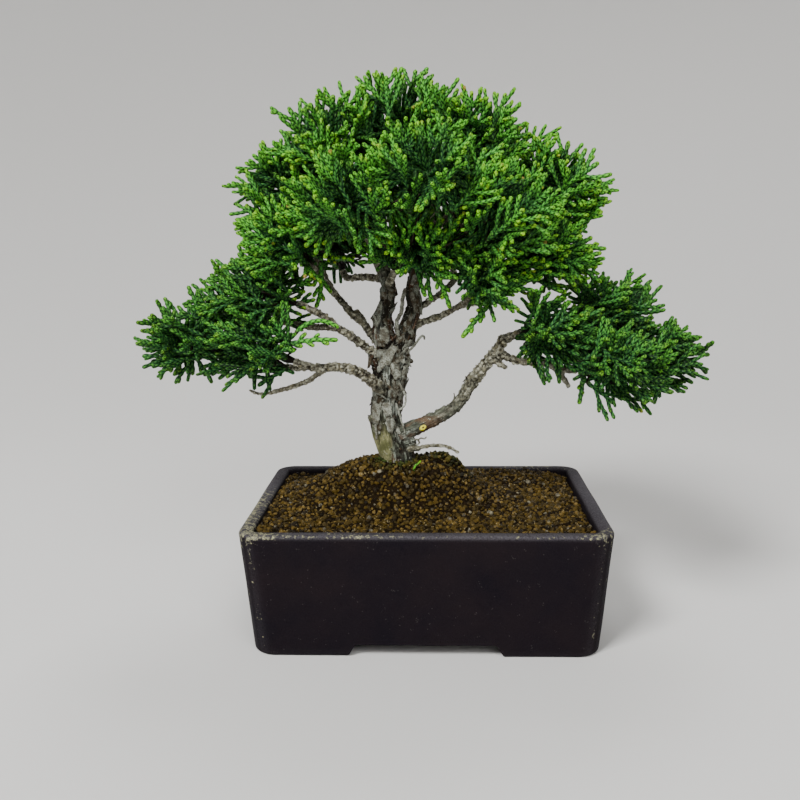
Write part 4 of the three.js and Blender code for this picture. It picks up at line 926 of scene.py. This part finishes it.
# Rings: radius, height over the bark, and how dark
SCAR_RINGS = (
    (0.0, -0.12, 1), (0.16, -0.1, 1), (0.3, 0.0, 0.4), (0.5, 0.06, 0), (0.7, 0.0, 0.1), (0.86, -0.45, 0.6),
)
SCAR_SIDES = 18
for radius, height, dark in SCAR_RINGS:
    for a in np.arange(SCAR_SIDES) * 2 * math.pi / SCAR_SIDES:
        spot = beside * radius * math.cos(a) * 1.08 - upward * radius * math.sin(a) * 0.9 + facing * height
        scar_points.append(scar_middle + spot * (1 + 0.16 * math.sin(2 * a + 1) * radius))
        pith.append(dark)
scar_faces = []
for start in range(0, SCAR_SIDES * (len(SCAR_RINGS) - 1), SCAR_SIDES):
    for i in range(SCAR_SIDES):
        here, after = start + i, start + (i + 1) % SCAR_SIDES
        scar_faces.append((here, after, after + SCAR_SIDES, here + SCAR_SIDES))
made_piece("scar_of_a_cut_twig", scar_points, scar_faces, [cut_material], "bark", pith=pith)

# Foliage
# Each leafy stem carries flat fans of green cords. A cord is a shoot covered with scale leaves in four
# rows, like plaited rope: painted shade darkens the foot of each leaf, and the cord is yellow-green and
# swollen at its tip.

SPRAYS, FREE_SPRAYS, INNER_SPRAYS = 10, 15, 12
TREE_HEART = np.array((-2, 4, 86))
PADS_UNDER, PADS_FADE = 94, 16  # below this height a stem belongs to a pad, over this span
BASE_DEPTH = 0.72  # how far from the middle of a stem's foliage a spray may start
WIDEST_TILT, GOLDEN = -0.5, math.pi * (3 - math.sqrt(5))
SHOOT_LENGTH, SHOOT_PITCH, SHOOT_ANGLE = 8.6, 1.6, math.radians(36)
SHOOTS_FROM, SHOOTS_TO = 0.24, 0.93  # the part of a fan's axis that bears side shoots
TWIGS_FROM, TWIG_PITCH, TWIG_MOST = 2.5, 2.2, 3.2
TWIGGED = 0.5  # share of the places on a side shoot that bear a twig
BARE_FOOT, ALL_WOOD = 0.9, 99  # how much of a cord is bare wood from its foot
LEAF_LENGTH = 1.35  # from one scale leaf to the next in the same row
CORD_RADIUS = 0.55
DOME_GAP = 24  # how far apart two stems may be that have fans between them
# How far a tip goes to the left, front and foot, and to the right, back and top
TIPS_LEAST, TIPS_MOST = np.array((-68.5, -34, 30)), np.array((67.5, 34.5, 134.5))
HEARTS = np.array([middle for middle, _, _ in LEAFY_STEMS.values()], float)
REACHES = np.array([reach for _, reach, _ in LEAFY_STEMS.values()], float)
KEY_STEPS = (127.1, 311.7, 74.7, 269.5)
LIGHT_SIDE = np.array((0, -0.65, 0.75))
# Loose fans that hang out of the mass: the stem, the foot, bend and tip, and the length of side shoots
STRAYS = (
    ("left_middle", (-36.9, -15, 68.5), (-31.5, -15, 73), (-20.6, -15, 72.2), 3.6),
    ("left_middle", (-30.2, -15, 74), (-25.4, -15, 78.8), (-20.3, -15, 75.2), 0),
    ("left_shoulder", (-38, -5, 80), (-32.2, -6, 83.3), (-27, -6, 86.6), 5),
    ("left_shoulder", (-38, -4, 79), (-31.8, -4, 79.8), (-27, -4, 80.8), 5),
    ("left_back", (-38, 7, 75), (-32, 6, 75), (-27.4, 6, 73), 5),
    ("crown_left_low", (-26, 0, 90), (-25, 1, 84), (-27.3, 1, 78.6), 4),
    ("crown_low_right", (15.4, -16, 81), (12.4, -17, 78), (8.6, -17, 73), 2.4),
    ("crown_low_right", (12.5, -15, 83), (17, -16, 82), (20.4, -16, 78.6), 2.6),
    ("crown_heart", (2.4, -12, 88), (4.4, -13, 84), (5.8, -12, 79.4), 2.6),
    ("crown_low_right", (11, -10, 84), (13, -11, 80), (13.9, -10, 76.8), 2.2),
    ("crown_heart", (-7, 2, 96), (-8, -4, 100), (-9, -9, 105), 6),
    ("crown_heart", (-5, 2, 94), (-5, -5, 98), (-5, -10, 103), 6),
    ("crown_heart", (-3, 3, 96), (0, -3, 99), (3, -9, 104), 6),
    ("crown_heart", (-12, 8, 94), (-12, 0, 98), (-13, -7, 104), 6),
    ("crown_front_right", (9, 4, 94), (14, -2, 93), (18, -7, 92), 6),
    ("crown_left_low", (-20, 4, 90), (-20, -4, 91), (-19, -10, 91), 5),
    ("crown_left_low", (-22, 4, 88), (-24, -4, 91), (-23, -9, 93), 5),
    ("right_front", (36.4, -18, 68), (36.3, -18.5, 62.5), (35.6, -18, 57.6), 1.6),
    ("right_front", (38, -18, 65.4), (45, -18.5, 62.4), (50, -18, 55.6), 4.5),
    ("right_front", (32.1, -17, 66.6), (39.8, -20, 63.4), (46.6, -20, 60.6), 4.5),
)


def chance(*keys):
    """A number from 0 to 1 that is always the same for the same keys."""
    wave = math.sin(sum(key * step for key, step in zip(keys, KEY_STEPS))) * 43758.5453
    return wave - math.floor(wave)


def between(low, high, share):
    """The value at a share of the way from one to the other."""
    return low + (high - low) * share


def any_side(direction):
    """One direction square to another."""
    return unit(np.cross((1, 0, 0) if abs(direction[2]) > 0.9 else (0, 0, 1), direction))


def place_in_mass(spots):
    """How deep points lie in the foliage, and how far below the middle of the nearest stem's."""
    offsets = (spots[:, None] - HEARTS) / REACHES
    far = np.linalg.norm(offsets, axis=2)
    nearest = far.argmin(axis=1)[:, None]
    depth = 1 - np.take_along_axis(far, nearest, 1)[:, 0]
    return depth, -np.take_along_axis(offsets[..., 2], nearest, 1)[:, 0]


# The plait: the painted shade at the foot of each scale leaf, and the painted highlight on its keel towards
# its tip. Leaf counts the leaves along the cord, and Row goes from 1 on the keel of one pair of rows to -1 on
# the keel of the other.
plait, given, gives = new_effect("Scale leaves", {"Leaf": 0.0, "Row": 0.0}, ("Foot Shade", "Tip Highlight"))
keel = maths(plait, "ABSOLUTE", given["Row"])
behind = maths(plait, "MULTIPLY_ADD", keel, -0.3, 0.3)
second = maths(plait, "MULTIPLY", maths(plait, "GREATER_THAN", given["Row"], 0.0), 0.5)
share = maths(plait, "FRACT", maths(plait, "ADD", maths(plait, "ADD", given["Leaf"], behind), second))
foot = rising(plait, share, 0.2, 0.42, 1.0, 0.0)
plait.links.new(maths(plait, "MAXIMUM", foot, rising(plait, keel, 0.0, 0.3, 0.45, 0.0)), gives["Foot Shade"])
plait.links.new(maths(plait, "MULTIPLY", rising(plait, share, 0.45, 0.95), keel), gives["Tip Highlight"])

leaf, shader, leaf_material = new_material("juniper scale leaves", Roughness=0.6, Specular_IOR_Level=0.12)
spots = effect(leaf, surface, Blotch_Size=0.005, Grain_Size=0.0003)
# Painted shade: the shade mark darkens the leaves to near black.
colour = mixed(leaf, mark_of(leaf, "shade"), (0.084, 0.355, 0.025), (0.0008, 0.01, 0.003))
colour = mixed(leaf, maths(leaf, "MULTIPLY", spots["Blotches"], 0.4), colour, (0.05, 0.23, 0.06))
young = mixed(leaf, mark_of(leaf, "tint"), (0.1, 0.41, 0.006), (0.26, 0.46, 0.003))
colour = mixed(leaf, mark_of(leaf, "tip"), colour, young)
few_cords = rising(leaf, mark_of(leaf, "tint"), 0.94, 0.97)
burnt = maths(leaf, "MULTIPLY", few_cords, rising(leaf, mark_of(leaf, "tip"), 0.45, 0.8))
colour = mixed(leaf, burnt, colour, (0.33, 0.2, 0.05))
scales = effect(leaf, plait, Leaf=mark_of(leaf, "leaf"), Row=mark_of(leaf, "row"))
dotted = rising(leaf, mark_of(leaf, "tip"), 0.45, 0.9, 0.95, 0.25)  # a growing tip is smooth
# Painted highlight along the keels towards each leaf's tip, then painted shade at each leaf's foot.
colour = mixed(leaf, maths(leaf, "MULTIPLY", scales["Tip Highlight"], 0.3), colour, (0.21, 0.6, 0.07))
colour = mixed(leaf, maths(leaf, "MULTIPLY", scales["Foot Shade"], dotted), colour, (0.0015, 0.016, 0.004))
dots = effect(leaf, specks, Size=0.0004, Share=0.1)
colour = mixed(leaf, maths(leaf, "MULTIPLY", dots["Specks"], 0.35), colour, (0.25, 0.38, 0.24))
wood_tone = mixed(leaf, spots["Grain"], (0.03, 0.02, 0.01), (0.15, 0.12, 0.07))
# Painted shade: bare wood darkens with the shade mark, and the stems and twigs inside the foliage get it in
# full.
wood_tone = mixed(leaf, mark_of(leaf, "shade"), wood_tone, (0.008, 0.005, 0.0025))
feed(leaf, shader.inputs["Base Color"], mixed(leaf, mark_of(leaf, "woody"), colour, wood_tone))
raised(leaf, shader, maths(leaf, "SUBTRACT", 1.0, scales["Foot Shade"]), 0.22, 0.8)

cord_faces = {}


def faces_of(segments):
    """The faces of a four-sided cord, closed at its foot and pointed at its tip."""
    if segments not in cord_faces:
        quads = [
            (4 * k + j, 4 * k + (j + 1) % 4, 4 * k + (j + 1) % 4 + 4, 4 * k + j + 4)
            for k in range(segments) for j in range(4)
        ]
        last = 4 * segments
        ends = [(last + j, last + (j + 1) % 4, last + 4, last + 4) for j in range(4)]
        cord_faces[segments] = np.array([*quads, *ends, (3, 2, 1, 0)])
    return cord_faces[segments]


class Greenery:
    """The cords of one leafy stem, gathered into one mesh."""

    def __init__(self, seed, underside):
        # Painted shade: underside sets how much darker the lower side of the foliage is painted.
        self.underside = underside  # how much darker the lower side is
        self.points, self.faces, self.total = [], [], 0
        self.marks = {"tip": [], "shade": [], "leaf": [], "row": [], "tint": [], "woody": []}
        self.random = np.random.default_rng(100 + seed)

    def shares(self, length, fine):
        """Even steps along a cord: two for each scale leaf, or one where it is hidden."""
        return np.linspace(0, 1, max(3, round(length / LEAF_LENGTH * (2 if fine else 1))) + 1)[:, None]

    def add_cord(self, route, flat, radius, fine, glow, shade, woody=0.0):
        """Route is the cord's line at even steps, and flat the direction of the fan it lies in."""
        segments = len(route) - 1
        route = route + 0.6 * (np.maximum(TIPS_LEAST - route, 0) - np.maximum(route - TIPS_MOST, 0))
        along = np.gradient(route, axis=0)
        along /= np.linalg.norm(along, axis=1, keepdims=True)
        side = flat - along * (along @ flat)[:, None]
        side /= np.linalg.norm(side, axis=1, keepdims=True)
        face = np.cross(along, side)
        run = np.arange(segments + 1) * np.linalg.norm(route[1] - route[0])
        left = run[-1] - run
        leaf = np.arange(segments + 1) / (2 if fine else 1) + 0.36
        share = np.stack([leaf + 0.5, leaf, leaf + 0.5, leaf], 1) % 1
        taper = radius * (1 + 0.1 * np.exp(-((left - 0.5) / 0.7) ** 2)) * np.minimum(1, 0.8 + run / 4)
        taper[-1] *= 0.86
        reach = taper[:, None] * (0.62 + 0.6 * share)
        reach[-2:] = taper[-2:, None] * 0.96
        ring = np.stack([side, face, -side, -face], 1)
        points = route[:, None] + ring * reach[..., None]
        apex = route[-1] + along[-1] * radius * 0.6
        self.points += [points.reshape(-1, 3), apex[None]]
        self.faces.append(faces_of(segments) + self.total)
        count = 4 * (segments + 1) + 1
        self.total += count
        # Painted shade: leaves are darker towards a cord's foot, deeper inside the foliage and lower in their
        # stem's mass, where less light reaches.
        depth, below = place_in_mass(route)
        young = np.clip(1.1 - left / 1.2, 0, 1) * glow * np.clip(1.6 - 3.4 * depth, 0, 1)
        inside = (2.7 + 2 * self.underside) * depth - 0.22
        shade = np.maximum(shade - 0.3 * run / run[-1], inside) + self.underside * np.clip(below + 0.1, 0, 1)
        self.marks["tip"] += [np.repeat(young, 4), young[-1:]]
        shade = np.clip(shade, 0, 1)
        self.marks["shade"] += [np.repeat(shade, 4), shade[-1:]]
        self.marks["leaf"] += [np.repeat(leaf, 4), [leaf[-1] + 0.5]]
        self.marks["row"] += [np.tile((1, -1, 1, -1), segments + 1), [0.6]]
        self.marks["tint"].append(np.full(count, self.random.random()))
        wood = np.clip((woody - run) / 0.8, 0, 1)
        self.marks["woody"] += [np.repeat(wood, 4), [0]]

    def add_fan(self, base, bend, tip, flat, shoot_length, fine, glow, shade):
        """A bent axis with side shoots on alternate hands, all in one sheet, and twigs on the long ones."""
        random = self.random
        span = np.linalg.norm(tip - base)

        def axis(t):
            return base * (1 - t) ** 2 + bend * 2 * t * (1 - t) + tip * t**2

        def heading(t):
            return unit((bend - base) * (1 - t) + (tip - bend) * t)

        self.add_cord(axis(self.shares(span, fine)), flat, CORD_RADIUS * 1.06, fine, glow, shade, BARE_FOOT)
        shoots = math.floor((SHOOTS_TO - SHOOTS_FROM) * span / SHOOT_PITCH) if shoot_length else 0
        for k in range(shoots):
            share = SHOOTS_FROM + k * SHOOT_PITCH / span
            hand = 1 if k % 2 else -1
            length = shoot_length * between(1.18, 0.46, share) * random.uniform(0.78, 1.14)
            forward = heading(share)
            sideways = unit(flat - forward * flat.dot(forward))
            square = np.cross(forward, sideways)
            angle = SHOOT_ANGLE * random.uniform(0.82, 1.1)
            ahead = forward * math.cos(angle) + sideways * hand * math.sin(angle)
            ahead = unit(ahead + square * random.uniform(-0.24, 0.24))
            bow = unit(sideways * hand - ahead * ahead.dot(sideways) * hand)
            bow = bow * length * random.uniform(0.06, 0.3)
            foot = axis(share)
            u = self.shares(length, fine)
            route = foot + ahead * length * u + bow * u * (1 - u)
            self.add_cord(route, sideways, CORD_RADIUS * 0.93, fine, glow, shade)
            spot, turn = TWIGS_FROM, hand
            while fine and spot < length - 1.6:
                twig = min(TWIG_MOST, 0.55 * (length - spot) + 0.5) * random.uniform(0.7, 1.2)
                at = spot / length
                way = unit(ahead * 0.9 - unit(bow) * turn * 0.45 + square * random.uniform(-0.22, 0.22))
                twig_foot = foot + ahead * spot + bow * at * (1 - at)
                route = twig_foot + way * twig * self.shares(twig, fine)
                if random.random() < TWIGGED:
                    self.add_cord(route, square, CORD_RADIUS * 0.86, fine, glow, shade)
                spot += TWIG_PITCH
                turn = -turn

    def piece(self, name):
        """The mesh of all the cords, with the corners at a tip that coincide taken as one."""
        faces = np.concatenate(self.faces).tolist()
        faces = [tuple(face[:3]) if face[2] == face[3] else tuple(face) for face in faces]
        marks = {mark: np.concatenate(values) for mark, values in self.marks.items()}
        return made_piece(name, np.concatenate(self.points), faces, [leaf_material], "leaves", **marks)


def spread_round(direction, cos_tilt, turn):
    """A direction that leans away from another one and is turned round it."""
    sin_tilt = math.sqrt(1 - cos_tilt * cos_tilt)
    side = any_side(direction)
    across = np.cross(direction, side)
    return direction * cos_tilt + side * sin_tilt * math.cos(turn) + across * sin_tilt * math.sin(turn)


for seed, (name, (middle, reach, branch)) in enumerate(LEAFY_STEMS.items()):
    heart, reach = np.array(middle, float), np.array(reach, float)
    outward, seat = stem_seat(heart, reach, branch)
    low = np.clip((PADS_UNDER - heart[2]) / PADS_FADE, 0, 1)
    green = Greenery(seed, 0.25 + 0.7 * low)
    # age holds painted shade: the low stems, the pads, start darker and the highest ones lighter, as the
    # light falls from above.
    age = np.interp(heart[2], (78, 94, 108, 118), (0.66, 0.06, 0.0, -0.25))
    stem = seat + (heart - seat) * np.linspace(0, 1, 8)[:, None]
    green.add_cord(stem, any_side(outward), STEM_RADIUS * 0.95, True, 0.0, 1.0, ALL_WOOD)
    first_turn = 2 * math.pi * chance(seed, 1)
    # The sprays that the solid part has, with the same axes
    for i in range(0, SPRAYS, 2):
        cos_tilt = between(1, WIDEST_TILT, (i + 0.5) / SPRAYS)
        away = spread_round(outward, cos_tilt, GOLDEN * i + first_turn)
        tip = heart + away * reach * between(0.92, 1.05, chance(seed, i, 2))
        base = heart - outward * 3 * (1 - cos_tilt) / 2
        span = np.linalg.norm(tip - base)
        bend = (base + tip) / 2 + outward * 0.14 * span - np.array((0, 0, 0.1 * span))
        along = unit(bend - base)
        roll = 2 * math.pi * chance(seed, i, 3)
        flat = any_side(along)
        flat = flat * math.cos(roll) + np.cross(along, flat) * math.sin(roll)
        glow = green.random.uniform(0.3, 0.95) * (1 - 0.55 * low)
        green.add_fan(base, bend, tip, flat, SHOOT_LENGTH, True, glow, 0.35 + age)
    # Sprays that sweep to the light, each on its own twig, and ones all round the heart painted in full
    # shade. Sprays that face down get more painted shade.
    to_light = unit(unit(heart - TREE_HEART) * (0.9, 0.35, 0.9) + np.array((0, 0, 0.4)))
    random = green.random
    free = round(FREE_SPRAYS - 3 * low)
    for i in range(free + INNER_SPRAYS):
        outer = i < free
        count, k, widest = (free, i, -0.35) if outer else (INNER_SPRAYS, i - free, -0.95)
        cos_tilt = between(0.97, widest, (k + 0.5) / count)
        away = spread_round(to_light, cos_tilt, GOLDEN * k + 2.4 + first_turn)
        tip = heart + away * reach * (random.uniform(0.92, 1.05) if outer else random.uniform(0.6, 0.86))
        tip = np.clip(tip, TIPS_LEAST, TIPS_MOST)
        sweep = unit((to_light * 0.75 + away * 0.65 + random.normal(size=3) * 0.2) * (1, 0.5, 1))
        length = random.uniform(11.5, 15.5) * (0.72 + 0.28 * cos_tilt)
        base = tip - sweep * length if outer else heart - away * reach * 0.2 - outward * 1.5
        from_heart = (base - heart) / reach
        base = heart + from_heart * reach * min(1, BASE_DEPTH / np.linalg.norm(from_heart))
        bend = (base + tip) / 2 + (to_light * 0.1 + random.normal(size=3) * 0.06) * np.linalg.norm(tip - base)
        twig_foot = seat + (heart - seat) * random.uniform(0.2, 0.9)
        twig = twig_foot + (base - twig_foot) * np.linspace(0, 1, 5)[:, None]
        green.add_cord(twig, any_side(outward), CORD_RADIUS * 0.55, False, 0.0, 1.0, ALL_WOOD)
        flat = unit(np.cross(LIGHT_SIDE + random.normal(size=3) * 0.4, bend - base))
        glow = random.uniform(0.3, 1.0) * (0.8 + 0.2 * away[2]) * (1.0 if outer else 0.35) * (1 - 0.55 * low)
        shade = between(0.45, 0.1, away[2] * 0.5 + 0.5) + age if outer else 1.0
        green.add_fan(base, bend, tip, flat, SHOOT_LENGTH, outer, glow, shade)
    # Fans that close the dome between this stem and the next ones
    for other, (far_middle, *_) in list(LEAFY_STEMS.items())[seed + 1:]:
        both_in_crown = name.startswith("crown") and other.startswith("crown")
        if not both_in_crown or np.linalg.norm(heart - far_middle) >= DOME_GAP:
            continue
        between_them = (heart + far_middle) / 2
        out = unit(between_them - TREE_HEART)
        for _ in range(2):
            tip = between_them + random.normal(size=3) * 2 + out * random.uniform(7, 10.5)
            tip = np.clip(tip, TIPS_LEAST, TIPS_MOST)
            base = tip - unit(out * (1, 0.4, 1) + np.array((0, 0, 0.3))) * 13
            if place_in_mass(base[None])[0] < 0.25:
                continue
            flat = unit(np.cross(LIGHT_SIDE + random.normal(size=3) * 0.4, tip - base))
            bend = (base + tip) / 2 + random.normal(size=3)
            twig = heart + (base - heart) * np.linspace(0, 1, 7)[:, None]
            green.add_cord(twig, flat, CORD_RADIUS * 0.55, False, 0.0, 1.0, ALL_WOOD)
            green.add_fan(base, bend, tip, flat, SHOOT_LENGTH, True, 0.7, 0.3)
    for owner, *line, shoots in STRAYS:
        if owner == name:
            base, bend, tip = (np.array(spot, float) for spot in line)
            flat = unit(np.cross((0.1, -0.8, 0.5), unit(bend - base)))
            green.add_fan(base, bend, tip, flat, shoots, True, 0.7, 0.3)
    fan = green.piece("sprays_" + name)
    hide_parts("foliage_" + name)

# Sprout
# A single young shoot, bright green and soft, that has come up through the soil at the foot of the
# trunk and has two blades.

BLADE_RADIUS = 0.32
sprout = Greenery(90, 0)
for spots_on_blade in (
    ((-3.6, -2, 37), (-3.1, -2.1, 38.0), (-2.4, -2.3, 39.0), (-1.4, -2.4, 39.9)),
    ((-3.4, -2, 37), (-3.1, -2.3, 37.7), (-2.9, -2.4, 38.2), (-2.8, -2.5, 38.6)),
):
    sprout.add_cord(np.array(spots_on_blade), np.array((0.8, 0, 0.6)), BLADE_RADIUS, True, 1.0, 0.0)
sprout.piece("sprout_at_the_foot")

# Light and view
# The pot stands on a round sweep of pale paper, flat in the middle and curved up all round, under three
# large soft lamps. The camera stands where the photograph was taken from, a little above the rim.

SWEEP_SIDES, SWEEP_FLAT, SWEEP_WIDTH, SWEEP_RISE, SWEEP_TOP = 64, 0.3, 1.1, 0.9, 1.3
paper_material = new_material("pale paper", Base_Color=(0.6, 0.592, 0.575), Roughness=0.9)[2]
curve = [
    (SWEEP_FLAT + SWEEP_WIDTH * math.sin(a), SWEEP_RISE - SWEEP_RISE * math.cos(a))
    for a in np.linspace(0, math.pi / 2, 17)
]
profile = [(0.001, 0), *curve, (SWEEP_FLAT + SWEEP_WIDTH, SWEEP_TOP)]
sweep_angles = np.arange(SWEEP_SIDES) * 2 * math.pi / SWEEP_SIDES
sweep = [(r * math.cos(a), r * math.sin(a), z) for r, z in profile for a in sweep_angles]
sweep_faces = [tuple(range(SWEEP_SIDES))]
for start in range(0, SWEEP_SIDES * (len(profile) - 1), SWEEP_SIDES):
    for i in range(SWEEP_SIDES):
        here, after = start + i, start + (i + 1) % SWEEP_SIDES
        sweep_faces.append((here, after, after + SWEEP_SIDES, here + SWEEP_SIDES))
floor_mesh = bpy.data.meshes.new("floor")
floor_mesh.from_pydata(sweep, [], sweep_faces)
floor_mesh.polygons.foreach_set("use_smooth", [True] * len(floor_mesh.polygons))
floor_mesh.materials.append(paper_material)
floor = bpy.data.objects.new("floor", floor_mesh)
bpy.context.collection.objects.link(floor)

world = bpy.data.worlds.new("studio")
world.use_nodes = True
world.node_tree.nodes["Background"].inputs["Color"].default_value = (0.85, 0.87, 0.9, 1)
world.node_tree.nodes["Background"].inputs["Strength"].default_value = 0.12
bpy.context.scene.world = world


def lamp(name, place, power, size):
    light = bpy.data.lights.new(name, "AREA")
    light.energy, light.size = power, size
    holder = bpy.data.objects.new(name, light)
    holder.location = place
    holder.rotation_euler = (Vector((0, 0, 0.08)) - holder.location).to_track_quat("-Z", "Y").to_euler()
    holder.visible_camera = False
    bpy.context.collection.objects.link(holder)


lamp("key", (-0.476, -0.714, 0.88), 20.8, 0.34)
lamp("fill", (0.3, -0.85, 0.7), 5.4, 0.48)
lamp("back", (0.14, 0.6, 1.1), 6.5, 0.5)

CAMERA_SPOT, CAMERA_TURN, CAMERA_LENS = (1.88, -231.65, 97.77), (-2.078, 10.414, -0.517), 42.05
camera = bpy.data.cameras.new("camera")
camera.lens, camera.sensor_width, camera.clip_start = CAMERA_LENS, 36, 0.01
holder = bpy.data.objects.new("camera", camera)
bpy.context.collection.objects.link(holder)
yaw, pitch, roll = (math.radians(v) for v in CAMERA_TURN)
ahead = Vector((math.sin(yaw) * math.cos(pitch), math.cos(yaw) * math.cos(pitch), -math.sin(pitch)))
level = Vector((math.cos(yaw), -math.sin(yaw), 0))
above = level.cross(ahead)
right = level * math.cos(roll) + above * math.sin(roll)
up = above * math.cos(roll) - level * math.sin(roll)
turned = Matrix((right, up, -ahead)).transposed().to_4x4()
holder.matrix_world = Matrix.Translation(Vector(CAMERA_SPOT) * MM) @ turned
bpy.context.scene.camera = holder
